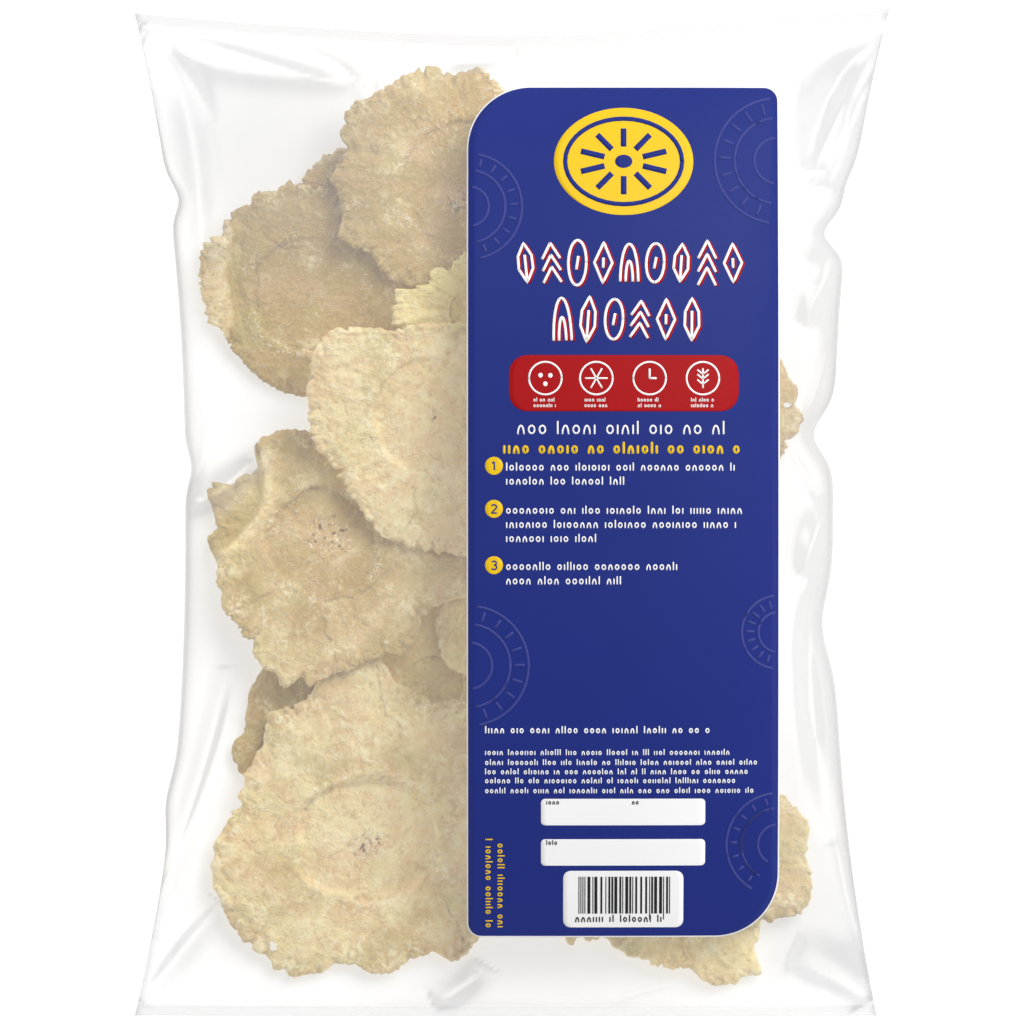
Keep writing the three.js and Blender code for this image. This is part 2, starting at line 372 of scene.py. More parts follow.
# the lowest slices first, each with points round its edge
tostones = [
    # painted shade: a high toast darkens this deep slice as if shaded by those over it
    dict(
        name="tostone_deep_top", seed=11, centre=(-50, 98), well=(-50, 98, 6, 6), toastAndShade=1.0, turns=150,
        rings=30,
        edge=[
            (-61, 105), (-58.5, 106.5), (-54.5, 109.5), (-52, 110.5), (-49, 109.5), (-42, 110),
            (-37, 104), (-36, 95), (-41, 87), (-50, 84), (-59, 87), (-64, 94), (-64, 100),
        ],
    ),
    # painted shade: a high toast and some moss darken this deep slice as if shaded by those over it
    dict(
        name="tostone_deep_left", seed=12, centre=(-67, -68), well=(-62, -68, 9, 10), toastAndShade=1.5,
        mossAndShade=0.2, turns=200, rings=40, bend=(0.5, 0.8, 0.2), rag=0.35,
        edge=[
            (-75.5, -47), (-77, -50), (-79.5, -53.5), (-80, -59), (-81, -63), (-81, -67),
            (-84.5, -69.5), (-85, -73.5), (-83, -77.5), (-80.5, -82), (-74, -88), (-64, -88),
            (-55, -80), (-51, -68), (-52, -56), (-58, -48), (-66, -44),
        ],
    ),
    # painted light: less toast and more yellow make this slice paler against the shade of the slices over it
    dict(
        name="tostone_rough", seed=19, centre=(-24, -51), well=(-24, -52, 9, 8), yellow=0.35,
        toastAndShade=-0.7, turns=260, rings=52,
        edge=[
            (-38.5, -36), (-30, -26.5), (-19, -24), (-9, -32), (-6, -52), (-9, -62), (-20, -66),
            (-32, -64), (-41, -56), (-42, -46),
        ],
    ),
    dict(
        name="tostone_middle", seed=13, centre=(-3, -32), well=(0, -32, 10, 9), yellow=0.4, rag=0.3,
        edge=[
            (-22, -26.5), (-22.5, -38.5), (-20, -46), (-12, -50), (0, -51), (12, -47), (17, -37),
            (15, -24), (7, -15), (-4, -12.5), (-15.5, -16),
        ],
    ),
    dict(
        name="tostone_low_middle", seed=14, centre=(19, -115), well=(20, -114, 8, 8),
        edge=[
            (15, -127.5), (17.5, -131.5), (20, -130.5), (22.5, -130), (27, -129), (33, -122),
            (33, -110), (25, -101), (13, -100), (5, -107), (4, -118), (9, -125.5),
        ],
    ),
    dict(
        name="tostone_top_middle", seed=15, centre=(22, 103), well=(22, 103, 11, 11), turns=160,
        rings=30,
        edge=[
            (-1.5, 126), (0.5, 129), (3.5, 129), (5.5, 127.5), (17.5, 127), (30, 125), (41, 117),
            (46, 105), (43, 89.5), (32.5, 80), (17.5, 79), (6, 84), (1, 94), (-1, 109.5), (-2, 121.5),
        ],
    ),
    # painted shade: a high toast darkens this slice against the right strip's light
    dict(
        name="tostone_right", seed=16, centre=(64, 29.5), well=(62, 29, 11, 11), toastAndShade=1.5,
        yellow=0.35, turns=260, rings=52, lowerRings=52,
        holes=[(83.3, 32.6, 1.2, 0.8)],
        edge=[
            (81.5, 46), (83, 42.5), (85, 39.5), (87, 37), (86.5, 34), (86, 32), (87, 31), (88.5, 29.5),
            (88, 28), (87, 25), (85.5, 23), (83.5, 21), (82.5, 19), (78, 13), (64, 5.5), (49, 8.5),
            (40, 20.5), (39, 35.5), (47.5, 49), (61, 53.5), (73.5, 52),
        ],
    ),
    dict(
        name="tostone_low_right", seed=17, centre=(51.5, -122), well=(50, -120, 10, 9), toastAndShade=-0.6,
        yellow=0.25, turns=300, rings=56,
        edge=[
            (75.5, -124.5), (75, -129.5), (73.5, -132.5), (74, -135.5), (76.5, -138.5), (75, -140.5),
            (72.5, -140), (70.5, -141), (67.5, -143), (62.5, -143.5), (59, -142.5), (56.5, -141),
            (55.5, -139), (53, -138), (48.5, -138.5), (43, -137), (39, -134.5), (35.5, -135),
            (32.5, -132.5), (29.5, -130.5), (27, -127.5), (28, -116), (34, -106), (48, -101),
            (62, -104), (72, -113),
        ],
    ),
    dict(
        name="tostone_side_right", seed=18, centre=(73, -106), well=(71, -105, 8, 10), toastAndShade=0.7,
        yellow=0.3, turns=280, rings=52,
        edge=[
            (81, -85), (83, -86), (85, -88.5), (87, -91), (89.5, -93), (90.5, -96), (90, -99.5),
            (88.5, -103.5), (90, -107), (90, -119), (88.5, -121), (85.5, -122.5), (82.5, -122),
            (80, -123), (77, -125), (70, -126), (61, -121), (56, -110), (57, -99), (63, -89),
            (72, -84),
        ],
    ),
    # painted shade: a high toast darkens this slice, whose right side lies in its neighbours' shade
    dict(
        name="tostone_left", seed=20, centre=(-64.5, 67), well=(-62, 66, 17, 17), toastAndShade=1.45,
        turns=520, rings=84, lowerRings=12, bend=(2.0, 0.8, 0.4), wellDepth=0.7,
        cracks=[[(-77.4, 79), (-77, 74), (-77.4, 67), (-76.8, 62)], [(-75, 84), (-70, 80), (-62, 80)]],
        ridges=[([(-86, 85), (-88, 72), (-86, 57)], 1.2, 3.0)],
        edge=[
            (-62.5, 99), (-66.5, 101), (-71, 97.5), (-76.5, 97), (-81.5, 93), (-87.5, 88),
            (-87.5, 83.5), (-92.5, 83), (-94.5, 76), (-94.5, 69), (-92.5, 60), (-91.5, 57), (-88, 56),
            (-86.5, 51.5), (-82.5, 46.5), (-76.5, 40.5), (-68, 36), (-63, 35), (-50.5, 36.5),
            (-38, 43), (-26, 55), (-25, 68.5), (-36, 83.5), (-50.5, 96),
        ],
    ),
    dict(
        name="tostone_bottom_left", seed=21, centre=(-43, -93.5), well=(-43.5, -99.3, 22.3, 18.1),
        toastAndShade=-0.1, turns=520, rings=84, lowerRings=84, heart=(-43.5, -101, 6, 1), wellTone=-0.55,
        bend=(1.6, 1.2, -0.5), ripple=(0.7, 5), wellDepth=2.2,
        holes=[(-72.4, -131.3, 1.1, 1.6)],
        cracks=[
            [(-50, -81), (-42, -79.6), (-35, -80.6)], [(-41, -46.5), (-39, -60), (-33, -66)],
            [(-21, -116), (-17, -124), (-15, -130)],
        ],
        edge=[
            (-41.5, -42), (-46, -43.5), (-50.5, -45.5), (-55, -47.5), (-59.5, -52), (-62, -57),
            (-68, -58.5), (-74, -61), (-75, -65.5), (-75.5, -70), (-79, -77), (-81.5, -79),
            (-80.5, -82), (-83, -85), (-81.5, -88.5), (-86, -92), (-88, -97.5), (-91, -101),
            (-89.5, -104), (-91.5, -106.5), (-90.5, -111.5), (-89.5, -115.5), (-86, -123),
            (-82, -128.5), (-80, -132.5), (-74, -134.5), (-72.5, -138.5), (-69, -140), (-65.5, -141.5),
            (-62, -139.5), (-56.5, -139.5), (-54.5, -136.5), (-47.5, -137), (-41.5, -140),
            (-38.5, -140), (-31.5, -136.5), (-30.5, -135), (-25.5, -134), (-24, -132.5), (-21, -134.5),
            (-18.5, -136.5), (-16.5, -136), (-14, -134), (-11, -130), (-5, -124.5), (0, -114),
            (2, -99), (1, -82), (-3, -66), (-12.5, -57), (-24.5, -57), (-29.5, -54), (-35.5, -51),
            (-38, -46.5),
        ],
    ),
    dict(
        name="tostone_middle_left", seed=22, centre=(-57, -15), well=(-57, -9.2, 16.3, 16.3),
        turns=520, rings=84, lowerRings=12, bend=(1.5, 1.2, 0.5), wellDepth=1.5,
        heart=(-55.5, -7.5, 8, 0.9), toastAndShade=0.75, wellTone=0.15,
        cracks=[
            [(-85, -30), (-79, -27.5), (-73, -24.5)], [(-57.5, -31), (-56, -37), (-53, -45)],
            [(-70, -18), (-66, -24), (-58, -26.5), (-48, -25.5)], [(-46, -25), (-41, -21), (-37, -17)],
        ],
        ridges=[
            (
                [(-87, -12.5), (-82, -8.5), (-78, -4), (-75.3, 1), (-74, 6), (-74.3, 11), (-75.5, 15)],
                3.3, 2.2,
            ),
        ],
        edge=[
            (-77.5, 22), (-78.5, 19), (-76.5, 13.5), (-82.5, 11), (-84.5, 8.5), (-88, 9), (-91, 9),
            (-93, 7), (-90, 0.5), (-90, -4), (-92.5, -8.5), (-89, -15.5), (-89.5, -20.5), (-88, -24.5),
            (-87, -31), (-84.5, -32.5), (-79.5, -39), (-78, -43), (-75.5, -47), (-71, -48.5),
            (-70.5, -52.5), (-67, -53), (-63.5, -48.5), (-62, -52.5), (-60, -52.5), (-54.5, -49),
            (-44.5, -45.5), (-37, -42.5), (-35, -44), (-31, -41), (-28.5, -37), (-27.5, -31),
            (-24.5, -30), (-19.5, -27), (-12, -25), (-9, -21), (-8, -13), (-22, -7), (-34, 0),
            (-44, 7), (-53, 17), (-62, 25), (-69, 25),
        ],
    ),
    dict(
        name="tostone_top_left", seed=23, centre=(-22, 104), well=(-12.5, 97.5, 21, 21), toastAndShade=1.3,
        turns=520, rings=84, lowerRings=12, bend=(1.6, 1.4, -0.8), wellDepth=1.4,
        heart=(-17, 93.5, 5, 0.8),
        cracks=[
            [(-29, 90), (-27.5, 86), (-24.5, 83)], [(-44, 112), (-41, 108)], [(-35, 81), (-30, 86)],
        ],
        edge=[
            (-24.5, 135.5), (-18, 132.5), (-9.5, 134.5), (-6, 133), (-3.5, 129), (1, 124.5), (7, 112),
            (8, 98), (5, 88), (-2, 80), (-12, 75), (-20, 70.5), (-27, 68.5), (-36.5, 70), (-39, 73),
            (-43, 78.5), (-48.5, 80), (-53, 83), (-51.5, 89.5), (-52.5, 97.5), (-55.5, 100.5),
            (-52, 105.5), (-49, 110), (-53, 113.5), (-51, 116.5), (-50.5, 121), (-48.5, 123.5),
            (-42, 126), (-36, 130), (-30, 133),
        ],
    ),
    # yellow of its own, and less toast as painted light against the shade of the slices over it
    dict(
        name="tostone_yellow", seed=24, centre=(-11, 61), well=(-8, 60, 11, 9), yellow=0.9, toastAndShade=-0.4,
        turns=280, rings=56, rag=1.1, bend=(1.2, 1.4, 0.3),
        edge=[
            (-35.5, 54.5), (-35.5, 67), (-30, 69), (-25.5, 68.5), (-23, 75), (-20, 73), (-17, 76.5),
            (-13.5, 78.5), (-3.5, 79), (7, 72), (11, 60), (7, 49), (-6, 44), (-22, 44), (-33, 48),
        ],
    ),
    dict(
        name="tostone_centre", seed=25, centre=(-27, 22), well=(-23.8, 29.4, 17.6, 17.6), turns=520,
        rings=84, lowerRings=12, bend=(1.6, 1.2, 0.3), wellDepth=1.4, heart=(-24, 30, 3.2, 0.9),
        toastAndShade=-0.5, wellTone=-0.5,
        cracks=[[(-52, 45), (-46, 42)], [(-30, 8), (-29, 0), (-33, -6)]],
        edge=[
            (-57.5, 53), (-53, 55.5), (-47, 56), (-41.5, 56), (-36.5, 54.5), (-31.5, 56.5), (-26, 57),
            (-12.5, 56.5), (-2, 50), (4, 37), (5, 22), (1, 5), (-6, -7), (-14, -13.5), (-20, -12),
            (-30.5, -10.5), (-35.5, -8.5), (-39, -7.5), (-43, -3), (-46.5, 2.5), (-49.5, 6),
            (-51.5, 10), (-54.5, 14), (-57, 17), (-60.5, 21.5), (-61, 26.5), (-62, 35), (-61.5, 43),
            (-59.5, 49),
        ],
    ),
]


tostoneRelief = dict(  # in millimetres
    edgeRounding=0.9,
    edgeCrumbs=0.9,
    notches=2.2,
    rimWidth=1.3,  # how far the round rim reaches in from the edge
    crumble=0.5,  # of the rim's side
    waves=0.5,  # of the whole slice
    lumps=0.6,
    creases=0.2,
    streaks=0.3,
    crumbs=0.13,
    groove=0.8,  # round the pressed middle
    collar=0.35,  # outside the groove
    rimCrumbs=0.6,
    rimBites=0.7,
    crack=0.4,
    crackWidth=0.4,
    foldDrop=1.8,  # behind a folded ridge
    pit=0.7,
    underLumps=0.4,
    underCrumbs=0.15,
    underShare=0.3,  # how much of its relief the underside keeps
)


def edgeReach(cut, angle):
    # distance from the slice's centre to its edge: straight between its points, a little rounded by the mean
    # of three bearings, plus crumbs of two sizes, less notches
    relief, seed = tostoneRelief, cut["seed"]
    points = np.array(cut["edge"], float) - cut["centre"]
    bearings, reaches = np.arctan2(points[:, 1], points[:, 0]), np.hypot(points[:, 0], points[:, 1])
    order = np.argsort(bearings)
    spread = relief["edgeRounding"] / reaches.mean()
    reach = np.mean([np.interp(angle + turn, bearings[order], reaches[order], period=2 * np.pi)
                     for turn in (-spread, 0, spread)], 0)
    x, y = reach.mean() * np.cos(angle), reach.mean() * np.sin(angle)
    crumbs = cloudNoise(x / 3.2, y / 3.2, seed, 3) + np.abs(gradientNoise(x / 1.4, y / 1.4, seed + 7))
    crumbs = relief["edgeCrumbs"] * crumbs
    notches = relief["notches"] * smoothStep(0.35, 0.7, gradientNoise(x / 3.5, y / 3.5, seed + 40))
    return reach + cut["rag"] * (crumbs - 0.35 - notches)


def nearLine(x, y, points):
    # distance to a path of straight runs, and which side of it a point is on
    nearest, side = np.full(x.shape, 1e9), np.zeros_like(x)
    for (ax, ay), (bx, by) in zip(points[:-1], points[1:]):
        runX, runY = bx - ax, by - ay
        t = np.clip(((x - ax) * runX + (y - ay) * runY) / (runX ** 2 + runY ** 2), 0, 1)
        distance = np.hypot(x - ax - t * runX, y - ay - t * runY)
        turn = np.sign((x - ax) * runY - (y - ay) * runX)
        side = np.where(distance < nearest, turn, side)
        nearest = np.minimum(nearest, distance)
    return nearest, side


def tostoneFields(cut, x, y, share):
    # Heights of the two faces about the slice's own middle, and the masks that its colour follows. The middle
    # bends as u^2, v^2 and uv, half the thickness falls to the rim as share^5, and relief is added on top.
    relief, seed, (cx, cy) = tostoneRelief, cut["seed"], cut["centre"]
    reach = math.sqrt(np.prod(np.ptp(cut["edge"], axis=0))) / 2
    u, v = (x - cx) / reach, (y - cy) / reach
    angle = np.arctan2(v, u)
    bendX, bendY, twist = cut["bend"]
    rippleRise, rippleCount = cut["ripple"]
    middle = bendX * u * u + bendY * v * v + 2 * twist * u * v
    middle = middle + rippleRise * share ** 3 * np.sin(rippleCount * angle + seed)
    middle = middle + relief["waves"] * gradientNoise(x / 23, y / 23, seed + 1)
    half = cut["thickness"] / 2 * (1 - (1 - cut["rimShare"]) * share ** 5)
    # the pressed round in the middle, its step and its groove
    wx, wy, wa, wb = cut["well"]
    wobble = 0.07 * cloudNoise(x / 14, y / 14, seed + 2, 2)
    ring = np.sqrt(((x - wx) / wa) ** 2 + ((y - wy) / wb) ** 2) + wobble
    strength = smoothStep(-0.35, 0.45, gradientNoise(x / 17, y / 17, seed + 3))
    well = 1 - smoothStep(0.93, 1.05, ring)
    groove = np.exp(-(((ring - 0.99) / 0.03) ** 2)) * strength
    # broad lumps, rays, crumpled creases and crumbs, all calmer in the pressed round
    bearing = np.arctan2(y - wy, x - wx)
    streaks = gradientNoise((6 + ring) * np.cos(bearing), (6 + ring) * np.sin(bearing), seed + 23)
    lumps = cloudNoise(x / 15, y / 15, seed + 4, 2)
    creases = 1 - 2 * np.abs(cloudNoise(x / 7, y / 7, seed + 5, 2))
    crumb = cloudNoise(x / 2.3, y / 2.3, seed + 10, 3)
    rough = 1 - 0.6 * well
    border = smoothStep(0.8, 1.0, share)
    top = relief["lumps"] * lumps + relief["creases"] * creases
    top = (top + relief["streaks"] * streaks + relief["crumbs"] * crumb) * rough
    top = top - cut["wellDepth"] * well - relief["groove"] * groove
    top = top + relief["collar"] * np.exp(-(((ring - 1.1) / 0.06) ** 2)) * strength
    bites = np.maximum(0, gradientNoise(x / 5, y / 5, seed + 13))
    top = top + border * (relief["rimCrumbs"] * crumb - relief["rimBites"] * bites)
    # cracks, folded ridges and the specks of the heart
    crack = np.zeros_like(x)
    for path in cut["cracks"]:
        wander = 0.7 * gradientNoise(x / 2.5, y / 2.5, seed + 14)
        gape = 0.5 + 0.5 * smoothStep(-0.3, 0.4, gradientNoise(x / 3, y / 3, seed + 15))
        distance = nearLine(x + wander, y + wander, path)[0]
        crack = np.maximum(crack, gape * np.exp(-((distance / relief["crackWidth"]) ** 2)))
    crest, behind = np.zeros_like(x), np.zeros_like(x)
    for path, rise, width in cut["ridges"]:
        distance, side = nearLine(x, y, path)
        uneven = 0.8 + 0.35 * gradientNoise(x / 6, y / 6, seed + 31)
        crest = uneven * np.exp(-((distance * np.where(side < 0, 1.5, 0.65) / width) ** 2))
        behind = (side < 0) * smoothStep(0.2, width * 1.6, distance) * np.exp(-((distance / 9) ** 2))
        middle = middle + rise * crest - relief["foldDrop"] * behind
    hx, hy, heartSize, heartShare = cut["heart"]
    away = np.hypot(x - hx, (y - hy) * 1.25) / heartSize
    heart = heartShare * smoothStep(1.2, 0.5, away + 0.35 * cloudNoise(x / 3, y / 3, seed + 24, 2))
    pits = heart * smoothStep(0.35, 0.6, cloudNoise(x / 2.2, y / 1.6, seed + 27, 3))
    top = top - relief["crack"] * crack - relief["pit"] * pits
    bottom = relief["underShare"] * (relief["underLumps"] * lumps + relief["underCrumbs"] * crumb)
    # masks from 0 to 1: noises of different widths, and what goes with the well, the folds and the rim; among
    # them are a painted highlight on fold crests and painted shade behind folds, in the groove, the cracks
    # and the lumps' dips
    frostRing = np.exp(-(((ring - 1.08) / 0.12) ** 2))
    frostRing = frostRing * smoothStep(-0.3, 0.4, gradientNoise(x / 9, y / 9, seed + 21))
    rosy = smoothStep(0.1, 1.0, cloudNoise(x / 15, y / 15, seed + 17, 3))
    # olive patches at random, and more of them where the broad lumps dip, as painted shade
    mossy = smoothStep(0.1, 0.9, cloudNoise(x / 16, y / 16, seed + 16, 3) - 0.3 * lumps)
    webs = smoothStep(0.45, 0.9, cloudNoise(x / 10, y / 10, seed + 22, 2))
    broken = smoothStep(-0.3, 0.4, gradientNoise(x / 2, y / 2, seed + 26))
    # toast at random and per slice, more where the broad lumps dip and less on their tops: painted shade
    toastAndShade = 0.23 + 0.58 * cut["toastAndShade"] + 0.45 * cloudNoise(x / 17, y / 17, seed + 18, 4) - 0.15 * lumps
    # painted highlight: a fold's crest is less toasted, so paler; painted shade: the dropped side behind it
    # is more toasted
    toastAndShade = toastAndShade + cut["wellTone"] * well - 1.1 * crest + 0.4 * behind
    masks = dict(
        toastAndShade=toastAndShade,
        # olive moss, and painted shade in the groove and behind folds
        mossAndShade=cut["mossAndShade"] + mossy * (1 - 0.5 * well) + 0.2 * groove + 0.9 * behind,
        blush=0.75 * rosy + 0.7 * heart,
        # pale flakes, fewer behind folds as painted shade
        flake=0.5 + 0.55 * cloudNoise(x / 8, y / 8, seed + 19, 3) + 0.2 * streaks - 0.1 * well + 0.2 * border
        - 0.6 * behind - 0.4 * np.clip(toastAndShade, 0, 1),
        # frost at the ring, the heart and in webs, and on fold crests as painted highlight
        frost=0.95 * frostRing + 0.9 * heart + 0.3 * webs + 0.5 * crest,
        # dark seed specks; painted shade in the cracks and along the groove; and darker in the rim's low
        # crumbs
        pit=0.8 * pits + 0.3 * crack + 0.4 * groove * broken + 0.3 * border * smoothStep(0.2, 0.8, -crumb),
        yellow=cut["yellow"] + 0.3 * gradientNoise(x / 18, y / 18, seed + 25),
    )
    masks = {key: np.clip(values, 0, 1) for key, values in masks.items()}
    return middle, half, top, bottom, masks


laying = dict(
    cell=1.0,
    gap=0.4,
    margin=1.03,  # how far round its edge a slice keeps clear, as a share
    steepest=0.2,  # the film's press keeps a slice from tilting further
)
# the slices are laid from the lowest to the highest over a raster of the bag's back sheet
rasterX, rasterY = np.meshgrid(np.arange(-115, 116, laying["cell"]), np.arange(-153, 154, laying["cell"]))
frontOver, backOver = filmOver(rasterX, rasterY, False)
pile = backOver.copy()


def settle(cut):
    # The slice comes to rest where its centre is lowest. For two tilts the height is the most that any point
    # under it needs, and the tilts are found from a coarse grid of them to a fine one.
    cx, cy = cut["centre"]
    dx, dy = rasterX - cx, rasterY - cy
    share = np.hypot(dx, dy) / edgeReach(cut, np.arctan2(dy, dx))
    under = share < laying["margin"]
    dx, dy = dx[under], dy[under]
    inside = np.minimum(share[under], 1)
    middle, half, top, bottom, masks = tostoneFields(cut, rasterX[under], rasterY[under], inside)
    need = pile[under] + laying["gap"] - (middle - half - np.maximum(bottom, 0))
    steepest = laying["steepest"]
    tilt, span = np.zeros(2), steepest
    for zoom in range(10):
        steps = np.linspace(-span, span, 7)
        tiltX, tiltY = np.clip(np.meshgrid(tilt[0] + steps, tilt[1] + steps), -steepest, steepest)
        heights = (need - tiltX.reshape(-1, 1) * dx - tiltY.reshape(-1, 1) * dy).max(1)
        best = heights.argmin()
        tilt, span = np.array([tiltX.ravel()[best], tiltY.ravel()[best]]), span * 0.45
    cut["rest"] = (heights[best], tilt[0], tilt[1])
    surface = heights[best] + tilt[0] * dx + tilt[1] * dy + middle + half + top
    pile[under] = np.maximum(pile[under], surface)


def makeTostone(cut, material):
    # rings run from the middle of the top face, over a round rim, to the middle of the underside
    cx, cy = cut["centre"]
    turns, rings, lower = cut["turns"], cut["rings"], cut["lowerRings"]
    angle = np.arange(turns) / turns * 2 * np.pi
    reach = edgeReach(cut, np.where(angle > np.pi, angle - 2 * np.pi, angle))
    rimWidth = tostoneRelief["rimWidth"] / reach.mean()
    rim = np.linspace(0, np.pi, 9)[1:-1]
    upperShare = np.linspace(0, 1, rings + 1)[1:] ** 0.85 * (1 - rimWidth)
    lowerShare = np.linspace(1, 0, lower + 1)[:-1] ** 0.85 * (1 - rimWidth)
    share = np.concatenate([upperShare, 1 - rimWidth + rimWidth * np.sin(rim), lowerShare])
    side = np.concatenate([np.ones(rings), np.cos(rim), -np.ones(lower)])
    shareGrid, angleGrid = np.meshgrid(share, angle, indexing="ij")
    sideGrid = np.repeat(side[:, None], turns, 1)
    crumble = gradientNoise(angleGrid * reach.mean() / 1.6, sideGrid * 1.3 + 9, cut["seed"] + 20)
    crumble = tostoneRelief["crumble"] * crumble * (1 - sideGrid ** 2)
    radius = shareGrid * reach + crumble
    # the two last points are the middles of the top face and of the underside
    x = np.append(cx + radius * np.cos(angleGrid), [cx, cx])
    y = np.append(cy + radius * np.sin(angleGrid), [cy, cy])
    shares, sides = np.append(shareGrid, [0, 0]), np.append(sideGrid, [1, -1])
    middle, half, top, bottom, masks = tostoneFields(cut, x, y, shares)
    height, tiltX, tiltY = cut["rest"]
    z = height + tiltX * (x - cx) + tiltY * (y - cy) + middle + sides * half
    z = z + np.where(sides > 0, top, bottom) * sides
    rows = len(share)
    quads = gridQuads(rows, turns, closed=True)
    if cut["holes"]:
        quads = pierce(cut, quads, x, y, rows, turns)
    last = (rows - 1) * turns
    ring = np.arange(turns)
    crown = np.stack([np.full(turns, rows * turns), np.roll(ring, -1), ring], -1)
    base = np.stack([np.full(turns, rows * turns + 1), last + ring, last + np.roll(ring, -1)], -1)
    faces = quads[:, ::-1].tolist() + crown[:, ::-1].tolist() + base[:, ::-1].tolist()
    return makePiece(cut["name"], np.stack([x, y, z], -1), faces, material, masks)


def pierce(cut, quads, x, y, rows, turns):
    # a hole drops the same cells from both faces, which have the same rings, and a wall joins their borders
    cells = quads.reshape(rows - 1, turns, 4)
    midX, midY = x[cells].mean(-1), y[cells].mean(-1)
    upper = cut["rings"] - 1
    hole = np.zeros((rows - 1, turns), bool)
    for hx, hy, ha, hb in cut["holes"]:
        edge = 1 + 0.25 * gradientNoise(midX / 1.1, midY / 1.1, cut["seed"] + 30)
        hole |= np.hypot((midX - hx) / ha, (midY - hy) / hb) < edge
    hole[upper:] = False
    last = rows - 1
    row, turn = np.nonzero(hole)
    following = (turn + 1) % turns
    walls = []
    for inside, (r0, t0), (r1, t1) in (
        (hole[row - 1, turn], (row, following), (row, turn)),
        (hole[row + 1, turn], (row + 1, turn), (row + 1, following)),
        (hole[row, turn - 1], (row, turn), (row + 1, turn)),
        (hole[row, following], (row + 1, following), (row, following)),
    ):
        corners = ((r0, t0), (r1, t1), (last - r1, t1), (last - r0, t0))
        wall = np.stack([place * turns + across for place, across in corners], -1)
        walls.append(wall[~inside])
    return np.concatenate([cells[~(hole | hole[::-1])], *walls])


plantainTones = dict(
    golden=(0.85, 0.6, 0.3, 1),
    sandy=(0.92, 0.76, 0.39, 1),
    yellow=(0.93, 0.79, 0.3, 1),
    toasted=(0.505, 0.337, 0.1, 1),
    mossAndShade=(0.56, 0.47, 0.17, 1),
    rose=(0.78, 0.5, 0.3, 1),
    flake=(0.96, 0.85, 0.52, 1),
    browned=(0.6, 0.39, 0.16, 1),
    crevice=(0.34, 0.22, 0.1, 1),
    thread=(0.95, 0.88, 0.7, 1),
    # the seeds' dark brown, also laid as painted shade in the cracks and along the groove
    pit=(0.2, 0.135, 0.09, 1),
)
plantainShares = dict(mossAndShade=0.55, rose=0.5, browned=0.55)  # how far each tone covers what is under it
plantainNoises = dict(  # scale, detail, roughness and distortion
    swath=(62.0, 5.0, 0.62, 1.6),
    wash=(150.0, 5.0, 0.68, 1.0),
    webbing=(380.0, 3.0, 0.6, 0.8),
    crust=(520.0, 4.0, 0.65, 0.5),
)


def plantainMaterial():
    # tones are laid over one another from the widest to the finest, each by a mask, a noise or both
    material, tree, shader = newMaterial("friedPlantain")
    place = addNode(tree, "ShaderNodeTexCoord").outputs["Object"]
    tones, shares = plantainTones, plantainShares
    wash = noiseOutput(tree, place, *plantainNoises["wash"])
    crust = noiseOutput(tree, place, *plantainNoises["crust"])
    mottle = mathNode(tree, "ADD", timesNode(tree, wash, 0.55), timesNode(tree, crust, 0.45))
    webbing = noiseOutput(tree, place, *plantainNoises["webbing"])
    swath = stepNode(tree, noiseOutput(tree, place, *plantainNoises["swath"]), 0.38, 0.62)
    baked = mixColour(tree, swath, tones["golden"], tones["sandy"])
    pale = mixColour(tree, maskNode(tree, "yellow"), baked, tones["yellow"])
    toasted = mixColour(tree, maskNode(tree, "toastAndShade"), pale, tones["toasted"])
    mossy = mixColour(tree, timesNode(tree, maskNode(tree, "mossAndShade"), shares["mossAndShade"]), toasted, tones["mossAndShade"])
    rosy = mixColour(tree, timesNode(tree, maskNode(tree, "blush"), shares["rose"]), mossy, tones["rose"])
    light = timesNode(tree, stepNode(tree, mottle, 0.48, 0.59), maskNode(tree, "flake"))
    washed = mixColour(tree, light, rosy, tones["flake"])
    brown = timesNode(tree, stepNode(tree, mottle, 0.48, 0.37), shares["browned"])
    browned = mixColour(tree, brown, washed, tones["browned"])
    frost = maskNode(tree, "frost")
    split = mathNode(tree, "ADD", timesNode(tree, frost, 0.4), 0.15)
    dark = timesNode(tree, stepNode(tree, crust, 0.44, 0.28), split)
    creviced = mixColour(tree, dark, browned, tones["crevice"])
    # threads run where the webbing noise crosses its middle
    away = mathNode(tree, "ABSOLUTE", mathNode(tree, "SUBTRACT", webbing, 0.5))
    woven = mathNode(tree, "ADD", timesNode(tree, frost, 0.75), 0.25, True)
    thread = timesNode(tree, stepNode(tree, away, 0.026, 0.0), woven)
    threaded = mixColour(tree, thread, creviced, tones["thread"])
    pitted = mixColour(tree, maskNode(tree, "pit"), threaded, tones["pit"])
    tree.links.new(pitted, shader.inputs["Base Color"])
    rough = mathNode(tree, "ADD", timesNode(tree, crust, 0.4), 0.35)
    tree.links.new(rough, shader.inputs["Roughness"])
    tree.links.new(bumpOutput(tree, mottle, 0.0018, 1.0), shader.inputs["Normal"])
    shader.inputs["Specular IOR Level"].default_value = 0.3
    return material


print("laying the slices")
plantain = plantainMaterial()
for given in tostones:
    cut = {**tostoneDefaults, **given}
    settle(cut)
    piece = makeTostone(cut, plantain)
    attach(piece, "root")
    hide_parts("bag")
    print(cut["name"], "rests at", [round(float(value), 2) for value in cut["rest"]])
spare = (frontOver - pile)[pile > backOver + 0.1]
print("least room under the front sheet", round(float(spare.min()), 2), "mm")


